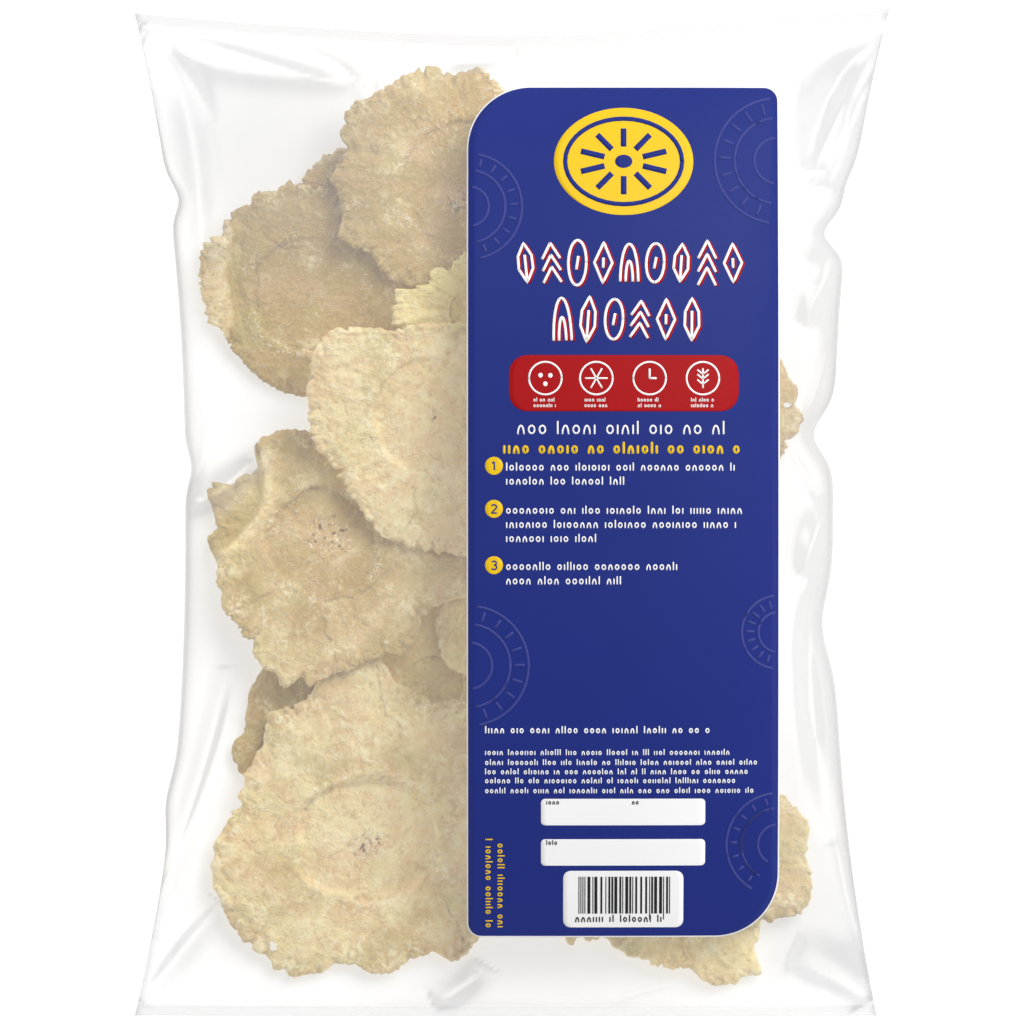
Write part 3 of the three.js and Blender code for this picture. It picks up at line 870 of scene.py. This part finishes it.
filmLook = dict(
    clear=(0.9, 0.9, 0.9, 1),
    # the grey that the painted shade, the haze and the steepness mix in
    turned=(0.4, 0.4, 0.41, 1),
    clearVeil=0.14,
    turnedVeil=0.28,
    hazeVeil=0.15,
    sealHaze=0.8,
    hazeWidth=0.014,  # of the milky line along each side fold, as a share of the bag's half width
    panelShade=0.6,  # painted shade on two panels, beside the label and in the upper left
    # painted shade on the folds, by their slope
    foldShade=0.85,
    slopeReach=0.8,  # a fold's slope is taken over this distance to both sides
    slopes=(0.1, 0.65),  # the slopes at which a fold's painted shade starts and is full
)


def crowded(count, crowding):
    # places from -1 to 1, closer together towards both ends
    even = np.linspace(-1, 1, count)
    return (1 - crowding) * even + crowding * np.sin(even * np.pi / 2)


def filmMaterial():
    # the film covers 0.14 + 0.28 turned + 0.15 haze of what is behind it, and greys in the milky seals, where
    # it stands steep to the view, and where a painted shade mask lies on two panels and on steep folds
    material, tree, shader = newMaterial("clearFilm")
    place = addNode(tree, "ShaderNodeTexCoord").outputs["Object"]
    haze = maskNode(tree, "haze")
    ripple = bumpOutput(tree, noiseOutput(tree, place, 70.0, 1.0), 0.0006, 0.35)
    facing = addNode(tree, "ShaderNodeLayerWeight", Blend=0.75, Normal=ripple).outputs["Facing"]
    steep = timesNode(tree, stepNode(tree, facing, 0.45, 0.95), 0.6)
    # painted shade from its mask, with a little of the seals' haze
    shadeAndHaze = mathNode(tree, "ADD", maskNode(tree, "paintedShade"), timesNode(tree, haze, 0.3))
    turned = mathNode(tree, "ADD", shadeAndHaze, steep, True)
    veil = mathNode(tree, "ADD", timesNode(tree, turned, filmLook["turnedVeil"]),
                    timesNode(tree, haze, filmLook["hazeVeil"]))
    tree.links.new(mathNode(tree, "ADD", veil, filmLook["clearVeil"], True), shader.inputs["Alpha"])
    greyed = mixColour(tree, turned, filmLook["clear"], filmLook["turned"])
    tree.links.new(greyed, shader.inputs["Base Color"])
    tree.links.new(ripple, shader.inputs["Normal"])
    shader.inputs["Roughness"].default_value = 0.2
    shader.inputs["IOR"].default_value = 1.6
    return material


def makeFilm():
    # Front and back sheet over one grid. The haze mask marks the seals and side folds, and the painted shade
    # mask is the sum of two shaded panels and of how steep the front sheet's folds are.
    across, along = crowded(film["columns"] + 1, 0.5), crowded(film["rows"] + 1, 0.25)
    s, t = np.meshgrid(across, along)
    x, y, front, back = filmAt(s, t)
    sealEdge = 1 - 2 * film["sealBand"] / film["length"]
    haze = smoothStep(sealEdge - 0.004, sealEdge + 0.002, np.abs(t)) * filmLook["sealHaze"]
    haze = haze + np.exp(-((1 - np.abs(s)) / filmLook["hazeWidth"]) ** 2)
    inner = np.clip(t / sealEdge, -1, 1)
    # painted shade: two panels, at the right beside the label and in the upper left, greyed as if turned from
    # the light
    panel = smoothStep(55, 88, x) + np.exp(-np.hypot((x + 70) / 42, (y - 106) / 34) ** 3)
    panel = filmLook["panelShade"] * panel + 0.1 + 0.15 * cloudNoise(x / 40, y / 60, 76, 2)
    panel = panel * smoothStep(1.0, 0.9, np.abs(inner))
    # painted shade along the front sheet's folds, where they are steep
    reach = filmLook["slopeReach"]
    slopeX = filmRelief(x + reach, y, inner) - filmRelief(x - reach, y, inner)
    slopeY = filmRelief(x, y + reach, inner) - filmRelief(x, y - reach, inner)
    slope = np.hypot(slopeX, slopeY) / (2 * reach)
    folded = filmLook["foldShade"] * smoothStep(*filmLook["slopes"], slope)
    paintedShade = np.clip(panel + folded, 0, 1).ravel()
    masks = dict(haze=np.tile(haze.ravel(), 2), paintedShade=np.concatenate([paintedShade, 0 * paintedShade]))
    points = np.concatenate([np.stack([x, y, z], -1).reshape(-1, 3) for z in (front, back)])
    faces = sheetFaces(film["rows"] + 1, film["columns"] + 1).tolist()
    piece = makePiece("bag_film", points, faces, filmMaterial(), masks)
    # clear film lets the light through, so it neither shades nor tints what is in it
    piece.visible_shadow = False
    piece.visible_diffuse = False
    return piece


print("making the film")
bagFilm = makeFilm()
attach(bagFilm, "root")
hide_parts("bag")


sticker = dict(
    gap=0.08,
    thickness=0.12,
    rim=0.4,
    lift=0.05,  # of the lowest ink over the paper
    layer=0.07,  # from one ink to the next over it
    inkThickness=0.04,
    deepShine=0.12,  # deep inks mirror less than pale ones
)
inkColours = dict(
    paper=(0.88, 0.88, 0.89),
    white=(0.96, 0.96, 0.96),
    yellow=(0.84, 0.54, 0.006),
    red=(0.39, 0.004, 0.006),
    blue=(0.0145, 0.0275, 0.205),
    paleBlue=(0.05, 0.062, 0.265),
    black=(0.012, 0.012, 0.014),
)


def labelHeight(x, y):
    # the paper's upper face: the smooth front sheet, a gap and the paper's thickness
    return filmOver(x, y, False)[0] + sticker["gap"] + sticker["thickness"]


def labelOutline(y, inset):
    # left and right edge at a height y, with two wide and two tight corners, all moved in by the inset
    top, bottom = labelBox["top"] - inset, labelBox["bottom"] + inset
    wide, tight = labelBox["wideRadius"] - inset, labelBox["tightRadius"] - inset

    def cornerRound(radius, away):
        # what a round corner takes off the width: r - sqrt(r^2 - (r - away)^2)
        return radius - np.sqrt(np.maximum(0, radius ** 2 - np.maximum(0, radius - away) ** 2))

    left = labelBox["left"] + inset + cornerRound(wide, top - y) + cornerRound(tight, y - bottom)
    right = labelBox["right"] - inset - cornerRound(tight, top - y) - cornerRound(wide, y - bottom)
    return left, right


def labelGrid(inset, columns=40):
    # rows up the label, closer together round its corners, each from the left edge to the right one
    radius = labelBox["wideRadius"]
    arc = radius * (1 - np.cos(np.linspace(0, np.pi / 2, 22)))
    top, bottom = labelBox["top"] - inset, labelBox["bottom"] + inset
    straight = np.linspace(bottom + radius, top - radius, 92)[1:-1]
    y = np.concatenate([bottom + arc, straight, (top - arc)[::-1]])
    left, right = labelOutline(y, inset)
    u = np.linspace(0, 1, columns + 1)
    return left[:, None] + (right - left)[:, None] * u, np.repeat(y[:, None], columns + 1, 1)


def roundedPlate(centre, size, radius):
    # rows run up the plate; a row's half width is the plate's, less the round of a corner near both ends
    width, height = size
    radius = min(radius, width / 2, height / 2)
    arc = radius * (1 - np.cos(np.linspace(0, np.pi / 2, 5)))
    straight = np.linspace(radius, height - radius, max(2, int(height / 2) + 1))[1:-1]
    away = np.concatenate([arc, straight, (height - arc)[::-1]])
    fromEnd = np.minimum(away, height - away)
    corner = np.sqrt(np.maximum(0.0004, radius ** 2 - np.maximum(0, radius - fromEnd) ** 2))
    half = width / 2 - radius + corner
    u = np.linspace(-1, 1, max(2, int(width / 1.6) + 2))
    return centre[0] + half[:, None] * u, centre[1] + np.repeat((away - height / 2)[:, None], len(u), 1)


def ellipsePlate(centre, radii):
    # rows crowd towards both ends, and a row's half width follows the circle
    v = -np.cos(np.linspace(0.04, np.pi - 0.04, max(16, int(radii[1] * 1.6) + 8)))
    u = np.linspace(-1, 1, max(3, int(radii[0] * 1.3) + 2))
    x, y = np.sqrt(1 - v ** 2)[:, None] * u, np.repeat(v[:, None], len(u), 1)
    return centre[0] + radii[0] * x, centre[1] + radii[1] * y


def ribbon(points, width, closed=False):
    # two rows that run beside a path, half a width to either side of it
    points = np.array(points, float)
    if closed:
        points = np.concatenate([points, points[:1]])
    lengths = np.concatenate([[0], np.cumsum(np.hypot(*np.diff(points, axis=0).T))])
    count = max(2, int(lengths[-1] / 1.2) + 2)
    even = np.unique(np.concatenate([np.linspace(0, lengths[-1], count), lengths]))
    x, y = np.interp(even, lengths, points[:, 0]), np.interp(even, lengths, points[:, 1])
    if closed:
        runX, runY = np.roll(x, -1), np.roll(y, -1)
        runX[-1], runY[-1] = x[1], y[1]
        backX, backY = np.roll(x, 1), np.roll(y, 1)
        backX[0], backY[0] = x[-2], y[-2]
        runX, runY = runX - backX, runY - backY
    else:
        runX, runY = np.gradient(x), np.gradient(y)
    size = np.hypot(runX, runY)
    offX, offY = -runY / size * width / 2, runX / size * width / 2
    return np.stack([x - offX, x + offX]), np.stack([y - offY, y + offY])


def circle(centre, radii, start=0, end=360, steps=40):
    # points on an ellipse from one bearing to another, in degrees
    bearing = np.radians(np.linspace(start, end, steps + 1))
    return np.stack([centre[0] + radii[0] * np.cos(bearing), centre[1] + radii[1] * np.sin(bearing)], -1)


inks = {key: [] for key in ("white", "yellow", "red", "blue", "motif", "black")}


def printOn(ink, shapes, layer=1):
    # adds shapes to what an ink prints, at a layer over the blue field
    inks[ink] += [(x, y, layer) for x, y in shapes]


textSizes = dict(  # height, stroke and gap
    heading=(2.9, 0.5, 0.9),
    subheading=(2.6, 0.75, 0.7),
    step=(1.8, 0.4, 0.55),
    line=(1.6, 0.4, 0.5),
    small=(1.3, 0.32, 0.4),
    boxNote=(1.1, 0.3, 0.3),
    caption=(0.9, 0.22, 0.2),
)


def wordRow(left, right, y, size, rng):
    # words of small marks that are no letters: bars of two heights, rings and arches
    height, stroke, gap = textSizes[size]
    shapes, x = [], left
    while x < right:
        for kind in rng.integers(0, 5, rng.integers(2, 9)):
            wide = stroke if kind < 2 else height * 0.8
            if x + wide > right:
                continue
            middle, bow = x + wide / 2, wide / 2 - stroke / 2
            if kind < 2:
                rise = height * 0.4 * kind
                shapes.append(roundedPlate((middle, y + rise / 2), (stroke, height + rise), stroke / 2))
            elif kind == 4:
                arch = circle((middle, y - height / 2), (bow, height - stroke / 2), 0, 180, 8)
                shapes.append(ribbon(arch, stroke))
            else:
                ring = circle((middle, y), (bow, height / 2 - stroke / 2), 0, 330, 9)
                shapes.append(ribbon(ring, stroke, closed=True))
            x += wide + gap
        x += 2 * gap + stroke
    return shapes


badge = dict(
    centre=(33.6, 105.7),
    disc=(21, 16.3),
    ring=(17.6, 13),
    ringWidth=1.3,
    core=(2.6, 2.0),
    seeds=(13.5, 10),  # where the seeds end
    seedWidth=1.7,
    seedCount=10,
)


def printBadge():
    # a yellow disc marked like a cut slice: a ring, a core and seeds between them, at even bearings
    x, y = badge["centre"]
    printOn("yellow", [ellipsePlate((x, y), badge["disc"])])
    ring = ribbon(circle((x, y), badge["ring"]), badge["ringWidth"], closed=True)
    printOn("blue", [ring, ellipsePlate((x, y), badge["core"])], 2)
    far, high = badge["seeds"]
    for bearing in np.radians(18 + np.arange(badge["seedCount"]) * 360 / badge["seedCount"]):
        away, up = far * math.cos(bearing), high * math.sin(bearing)
        seed = [(x + 0.45 * away, y + 0.45 * up), (x + away, y + up)]
        printOn("blue", [ribbon(seed, badge["seedWidth"])], 2)


def fan(x, y, radii, start, end, stroke=0.75, clear=1.2):
    # pale arcs about one place, with short spokes that keep clear of the outer two
    arcs = [ribbon(circle((x, y), (radius, radius), start, end, 24), stroke) for radius in radii]
    spokes = []
    for bearing in np.radians(np.arange(start + 9, end, 18)):
        way = np.array([math.cos(bearing), math.sin(bearing)])
        ends = [(x, y) + way * reach for reach in (radii[-2] + clear, radii[-1] - clear)]
        spokes.append(ribbon(ends, stroke))
    printOn("motif", arcs + spokes)


titleMarks = dict(  # paths in a square from -1 to 1, and whether each is closed
    leaf=[
        ([(0, -1), (0.8, -0.3), (0.75, 0.35), (0, 1), (-0.75, 0.35), (-0.8, -0.3)], True),
        ([(0, -0.9), (0, 0.4)], False),
    ],
    peaks=[([(-1, low), (0, low + 0.8), (1, low)], False) for low in (-1, -0.4, 0.2)],
    slice=[(circle((0, 0), (1, 1), 0, 345, 23), True), ([(-0.1, -0.3), (0.1, 0.3)], False)],
    lozenge=[([(0, -1), (1, 0), (0, 1), (-1, 0)], True), ([(0, -0.25), (0, 0.25)], False)],
    arches=[
        (circle((0, -1), (1, 2), 180, 0, 16), False),
        (circle((0, -1), (0.4, 1.1), 180, 0, 12), False),
    ],
)
title = dict(
    rows=[  # left end, height and marks
        (1, 75, ("leaf", "peaks", "slice", "lozenge", "arches", "slice", "leaf", "peaks", "lozenge")),
        (12, 58, ("arches", "leaf", "slice", "peaks", "lozenge", "leaf")),
    ],
    step=7.8,
    width=5.4,
    stroke=0.8,
    shade=0.6,  # how far the red shade lies beside a mark
)


def titleMark(kind, x, y, height, tilt):
    # one white mark over a red shade of the same shape, turned by its tilt
    turn = math.radians(tilt)
    for ink, shift, layer in (("red", title["shade"], 1), ("white", 0.0, 2)):
        for path, closed in titleMarks[kind]:
            u, v = np.array(path, float).T * [[title["width"] / 2], [height / 2]]
            across = x + shift + u * math.cos(turn) - v * math.sin(turn)
            up = y - shift * 0.4 + u * math.sin(turn) + v * math.cos(turn)
            printOn(ink, [ribbon(np.stack([across, up], -1), title["stroke"], closed=closed)], layer)


def printTitle(rng):
    # two rows of marks, each a little taller or shorter and leaning a little
    for left, y, kinds in title["rows"]:
        for number, kind in enumerate(kinds):
            tall, lean = float(rng.uniform(11, 14)), float(rng.uniform(-6, 6))
            titleMark(kind, left + 3 + number * title["step"], y, tall, lean)


# ink, left and right end, height and size of the two headings
headings = [("white", 1.5, 65, 24.9, "heading"), ("yellow", -2.7, 69, 18.9, "subheading")]
fans = [  # centre, radii, and the bearings between which they run
    (80, 106, (7, 13, 19), 96, 262),
    (-13, 92, (6, 11, 16), -78, 80),
    (80, -36, (6, 11), 97, 262),
    (-13, -46, (7, 12.5, 18), -80, 82),
    (80, -100, (6, 11, 15.5), 96, 240),
]
panel = dict(centre=(33.6, 38.8), size=(69, 16.9), radius=5.4)
signs = dict(places=(10, 25.3, 41.3, 57.3), height=40.3, radius=4.9, stroke=0.55, captions=(33.7, 32.0))
steps = dict(
    dots=(14, 1.1, -15.8),  # heights of the numbered dots
    dotPlace=-5.4,
    dotRadius=2.7,
    left=-1.8,
    lines=[  # height and right end
        (13.7, 67.6), (9.5, 34.1), (0.75, 69.4), (-3.5, 67.9), (-7.7, 26.5), (-16.1, 50.7), (-20.4, 34.7),
    ],
)
smallPrint = dict(
    left=-8.1,
    line=(-65.5, 60),  # height and right end of each line
    block=[(-72.2, 66), (-75.2, 74), (-78.0, 71), (-80.7, 68), (-83.7, 73)],
    upright=(-7.2, -3.6),  # places of the two lines that run up the label's left edge
    uprightEnds=(-125, -98),
)
boxes = dict(
    heights=(-90, -102.2),
    middle=33.4,
    size=(49.4, 8),
    radius=1.2,
    notes=[(10.3, -87.2), (36, -87.2), (10.3, -99.4)],
)
bars = dict(
    field=(33.5, -116.4),
    fieldSize=(36.2, 17.2),
    fieldRadius=2.2,
    left=20.0,
    right=47.5,
    top=-109.6,
    unit=0.3,  # every bar and gap is one to three units wide
    height=11.2,
    longHeight=13.0,
    longShare=0.12,  # how many bars are long
    underline=(19, 47, -122.6),
)


def printLabel():
    # everything on the blue field, from its top to its foot
    rng = np.random.default_rng(8)
    printBadge()
    for given in fans:
        fan(*given)
    printTitle(rng)
    printOn("red", [roundedPlate(panel["centre"], panel["size"], panel["radius"])])
    for number, x in enumerate(signs["places"]):
        rim = circle((x, signs["height"]), (signs["radius"], signs["radius"]))
        printOn("white", [ribbon(rim, signs["stroke"], closed=True)], 2)
        printOn("white", roundSign(number, x, signs["height"]), 2)
        for y in signs["captions"]:
            printOn("white", wordRow(x - 3.6, x + 3.4, y, "caption", rng), 2)
    # headings, three numbered steps and small print
    for ink, left, right, y, size in headings:
        printOn(ink, wordRow(left, right, y, size, rng))
    dotX, dotRadius = steps["dotPlace"], steps["dotRadius"]
    for number, y in enumerate(steps["dots"]):
        printOn("yellow", [ellipsePlate((dotX, y), (dotRadius, dotRadius))])
        printOn("blue", numeral(number + 1, dotX, y), 2)
    for y, right in steps["lines"]:
        printOn("white", wordRow(steps["left"], right, y - 0.3, "step", rng))
    y, right = smallPrint["line"]
    printOn("white", wordRow(smallPrint["left"], right, y, "line", rng))
    for y, right in smallPrint["block"]:
        printOn("white", wordRow(smallPrint["left"], right, y, "small", rng))
    for x in smallPrint["upright"]:
        marks = wordRow(*smallPrint["uprightEnds"], x, "line", rng)
        printOn("yellow", [(across, along) for along, across in marks])
    # two boxes to write in, and bars of no code in a third
    for y in boxes["heights"]:
        printOn("white", [roundedPlate((boxes["middle"], y), boxes["size"], boxes["radius"])])
    for x, y in boxes["notes"]:
        printOn("black", wordRow(x, x + 4, y, "boxNote", rng), 2)
    printOn("white", [roundedPlate(bars["field"], bars["fieldSize"], bars["fieldRadius"])])
    x = bars["left"]
    while x < bars["right"]:
        width = bars["unit"] * rng.integers(1, 4)
        tall = bars["longHeight"] if rng.random() < bars["longShare"] else bars["height"]
        printOn("black", [roundedPlate((x + width / 2, bars["top"] - tall / 2), (width, tall), 0.02)], 2)
        x += width + bars["unit"] * rng.integers(1, 4)
    printOn("black", wordRow(*bars["underline"], "line", rng), 2)


def roundSign(number, x, y):
    # one of four plain signs round its middle
    here = np.array([x, y])
    if number == 0:  # a slice with three seeds
        seeds = [here + (1.7 * math.cos(turn), 1.7 * math.sin(turn)) for turn in (0.5, 2.6, 4.7)]
        return [ellipsePlate(seed, (0.7, 0.7)) for seed in seeds]
    if number == 1:  # a snow crystal
        arms = [np.array([3.4 * math.cos(turn), 3.4 * math.sin(turn)]) for turn in np.radians((0, 60, 120))]
        return [ribbon([here - arm, here + arm], 0.5) for arm in arms]
    if number == 2:  # a dial with two hands
        return [ribbon(here + [(0, 2.9), (0, 0), (2.1, 0)], 0.6)]
    stalk = [(0, -3), (0, 3)]  # with three pairs of leaves
    leaves = [[(0, up), (lean, up + 1.4)] for up in (-1.8, -0.2, 1.2) for lean in (-1.7, 1.7)]
    return [ribbon(here + path, 0.5) for path in [stalk] + leaves]


def numeral(value, x, y):
    # the figure 1, 2 or 3 in one stroke
    if value == 1:
        stroke = [(-0.55, 0.75), (0.1, 1.25), (0.1, -1.3)]
    elif value == 2:
        bow = circle((0, 0.55), (0.75, 0.7), 160, -35, 14)
        stroke = np.concatenate([bow, [(-0.8, -1.25), (0.85, -1.25)]])
    else:
        upper = circle((0, 0.6), (0.7, 0.6), 150, -90, 14)
        stroke = np.concatenate([upper, circle((0, -0.62), (0.8, 0.68), 90, -150, 14)])
    return [ribbon(np.array([x, y]) + stroke, 0.42)]


def inkMesh(name, shapes, material):
    # every shape's grid lies on the label at its layer's lift, with its faces turned up
    points, faces, start = [], [], 0
    for x, y, layer in shapes:
        z = labelHeight(x, y) + sticker["lift"] + sticker["layer"] * layer
        quads = gridQuads(*x.shape, start=start)
        facing = (x[0, 1] - x[0, 0]) * (y[1, 0] - y[0, 0]) - (y[0, 1] - y[0, 0]) * (x[1, 0] - x[0, 0])
        points.append(np.stack([x, y, z], -1).reshape(-1, 3))
        faces.append(quads if facing > 0 else quads[:, ::-1])
        start += x.size
    piece = makePiece(name, np.concatenate(points), np.concatenate(faces).tolist(), material)
    # the printed face stays where it is, and the ink's thickness goes down from it
    solid = piece.modifiers.new("thickness", "SOLIDIFY")
    solid.thickness, solid.offset = sticker["inkThickness"] * mm, -1
    return piece


def paperFibreGroup():
    # printed paper: its colour dulled a little in patches, and fibres in its roughness and height
    group = bpy.data.node_groups.new("paperFibre", "ShaderNodeTree")
    for name, kind, way in (
        ("Place", "NodeSocketVector", "INPUT"),
        ("Colour", "NodeSocketColor", "INPUT"),
        ("Dull Colour", "NodeSocketColor", "INPUT"),
        ("Sheen Loss", "NodeSocketFloat", "INPUT"),
        ("Colour", "NodeSocketColor", "OUTPUT"),
        ("Roughness", "NodeSocketFloat", "OUTPUT"),
        ("Height", "NodeSocketFloat", "OUTPUT"),
    ):
        group.interface.new_socket(name=name, in_out=way, socket_type=kind)
    given = group.nodes.new("NodeGroupInput").outputs
    result = group.nodes.new("NodeGroupOutput").inputs
    fibre = noiseOutput(group, given["Place"], 1300.0, 2.0, 0.6)
    patch = noiseOutput(group, given["Place"], 45.0, 2.0)
    group.links.new(mixColour(group, patch, given["Colour"], given["Dull Colour"]), result["Colour"])
    rough = mathNode(group, "ADD", timesNode(group, fibre, 0.15), given["Sheen Loss"])
    group.links.new(rough, result["Roughness"])
    group.links.new(fibre, result["Height"])
    return group


paperFibre = paperFibreGroup()


def inkMaterial(name, colour, roughness=0.42, specular=0.25):
    # paper or ink of one colour, with the shared paper fibres in it
    material, tree, shader = newMaterial(name)
    place = addNode(tree, "ShaderNodeTexCoord").outputs["Object"]
    dull = tuple(0.93 * value for value in colour) + (1,)
    paper = addNode(tree, "ShaderNodeGroup", {"node_tree": paperFibre}, Place=place, Colour=colour + (1,),
                    Dull_Colour=dull, Sheen_Loss=roughness)
    tree.links.new(paper.outputs["Colour"], shader.inputs["Base Color"])
    tree.links.new(paper.outputs["Roughness"], shader.inputs["Roughness"])
    tree.links.new(bumpOutput(tree, paper.outputs["Height"], 0.00003, 0.4), shader.inputs["Normal"])
    shader.inputs["Specular IOR Level"].default_value = specular
    return material


def makeSticker():
    # the label's paper, its upper face at labelHeight and its lower one a thickness below
    x, y = labelGrid(0)
    upper = np.stack([x, y, labelHeight(x, y)], -1).reshape(-1, 3)
    lower = upper - (0, 0, sticker["thickness"])
    paper = inkMaterial("labelPaper", inkColours["paper"], 0.5)
    return makePiece("label_sticker", np.concatenate([upper, lower]), sheetFaces(*x.shape).tolist(), paper)


print("printing the label")
printLabel()
deepShine = sticker["deepShine"]
blueInk = inkMaterial("blueInk", inkColours["blue"], specular=deepShine)
redInk = inkMaterial("redInk", inkColours["red"], specular=deepShine)
paleBlueInk = inkMaterial("paleBlueInk", inkColours["paleBlue"], specular=deepShine)
printPieces = [
    makeSticker(),
    inkMesh("label_field", [(*labelGrid(sticker["rim"]), 0)], blueInk),
    inkMesh("print_white", inks["white"], inkMaterial("whiteInk", inkColours["white"])),
    inkMesh("print_yellow", inks["yellow"], inkMaterial("yellowInk", inkColours["yellow"])),
    inkMesh("print_red", inks["red"], redInk),
    inkMesh("print_blue", inks["blue"], blueInk),
    inkMesh("print_motif", inks["motif"], paleBlueInk),
    inkMesh("print_black", inks["black"], inkMaterial("blackInk", inkColours["black"])),
]
for piece in printPieces:
    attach(piece, "root")
    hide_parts("label")


studio = dict(
    lens=500.0,
    viewWidth=308.8,  # how wide the picture is at planeHeight
    planeHeight=25.0,
    worldLight=0.375,
    lamps=dict(  # place and size in metres, and power
        keyLight=((1.5, 1.8, 2.9), (2.25, 2.25), 113.0),
        leftStrip=((-1.15, 0.0, 0.25), (1.6, 0.3), 4.0),
        rightStrip=((1.15, 0.0, 0.25), (1.6, 0.3), 4.0),
        topStrip=((0.0, 1.3, 0.25), (1.6, 0.3), 2.5),
        bottomStrip=((0.0, -1.3, 0.25), (1.6, 0.3), 2.5),
    ),
    floorSize=4000,
    floorDrop=0.2,
    floorTones=((0.44, 0.44, 0.44, 1), (0.46, 0.46, 0.46, 1)),
    floorGlow=0.635,
)


def makeFloor():
    # a pale table that glows faintly, just under the bag
    material, tree, shader = newMaterial("paleFloor")
    place = addNode(tree, "ShaderNodeTexCoord").outputs["Object"]
    shade = noiseOutput(tree, place, 3.0, 2.0)
    tree.links.new(mixColour(tree, shade, *studio["floorTones"]), shader.inputs["Base Color"])
    shader.inputs["Roughness"].default_value = 0.9
    shader.inputs["Specular IOR Level"].default_value = 0.1
    shader.inputs["Emission Color"].default_value = (1, 1, 1, 1)
    shader.inputs["Emission Strength"].default_value = studio["floorGlow"]
    size = studio["floorSize"]
    corners = np.array([(-size, -size, 0), (size, -size, 0), (size, size, 0), (-size, size, 0)])
    return makePiece("floor", corners - (0, 0, studio["floorDrop"]), [[0, 1, 2, 3]], material, smooth=False)


def areaLight(name, place, size, power):
    # a rectangular lamp that looks at the floor under the bag
    data = bpy.data.lights.new(name, "AREA")
    data.shape, data.size, data.size_y, data.energy = "RECTANGLE", size[0], size[1], power
    lamp = bpy.data.objects.new(name, data)
    lamp.location = place
    aim = -np.array(place)
    lean = math.acos(-aim[2] / np.linalg.norm(aim))
    lamp.rotation_euler = (lean, 0, math.atan2(aim[1], aim[0]) - math.pi / 2)
    bpy.context.scene.collection.objects.link(lamp)


def makeStudio():
    # white surroundings, a key light high at the top right, a strip beside each edge, and a long lens above
    scene = bpy.context.scene
    world = bpy.data.worlds.new("studio")
    world.use_nodes = True
    background = world.node_tree.nodes["Background"]
    background.inputs["Color"].default_value = (1, 1, 1, 1)
    background.inputs["Strength"].default_value = studio["worldLight"]
    scene.world = world
    for name, (place, size, power) in studio["lamps"].items():
        areaLight(name, place, size, power)
    camera = bpy.data.cameras.new("camera")
    camera.lens = studio["lens"]
    camera.clip_end = 50
    cameraObject = bpy.data.objects.new("camera", camera)
    away = studio["viewWidth"] * studio["lens"] / camera.sensor_width
    cameraObject.location = (0, 0.00015, (away + studio["planeHeight"]) * mm)
    scene.collection.objects.link(cameraObject)
    scene.camera = cameraObject
    scene.view_settings.view_transform = "Standard"


print("floor, light and camera")
floor = makeFloor()
makeStudio()

bpy.context.view_layer.update()
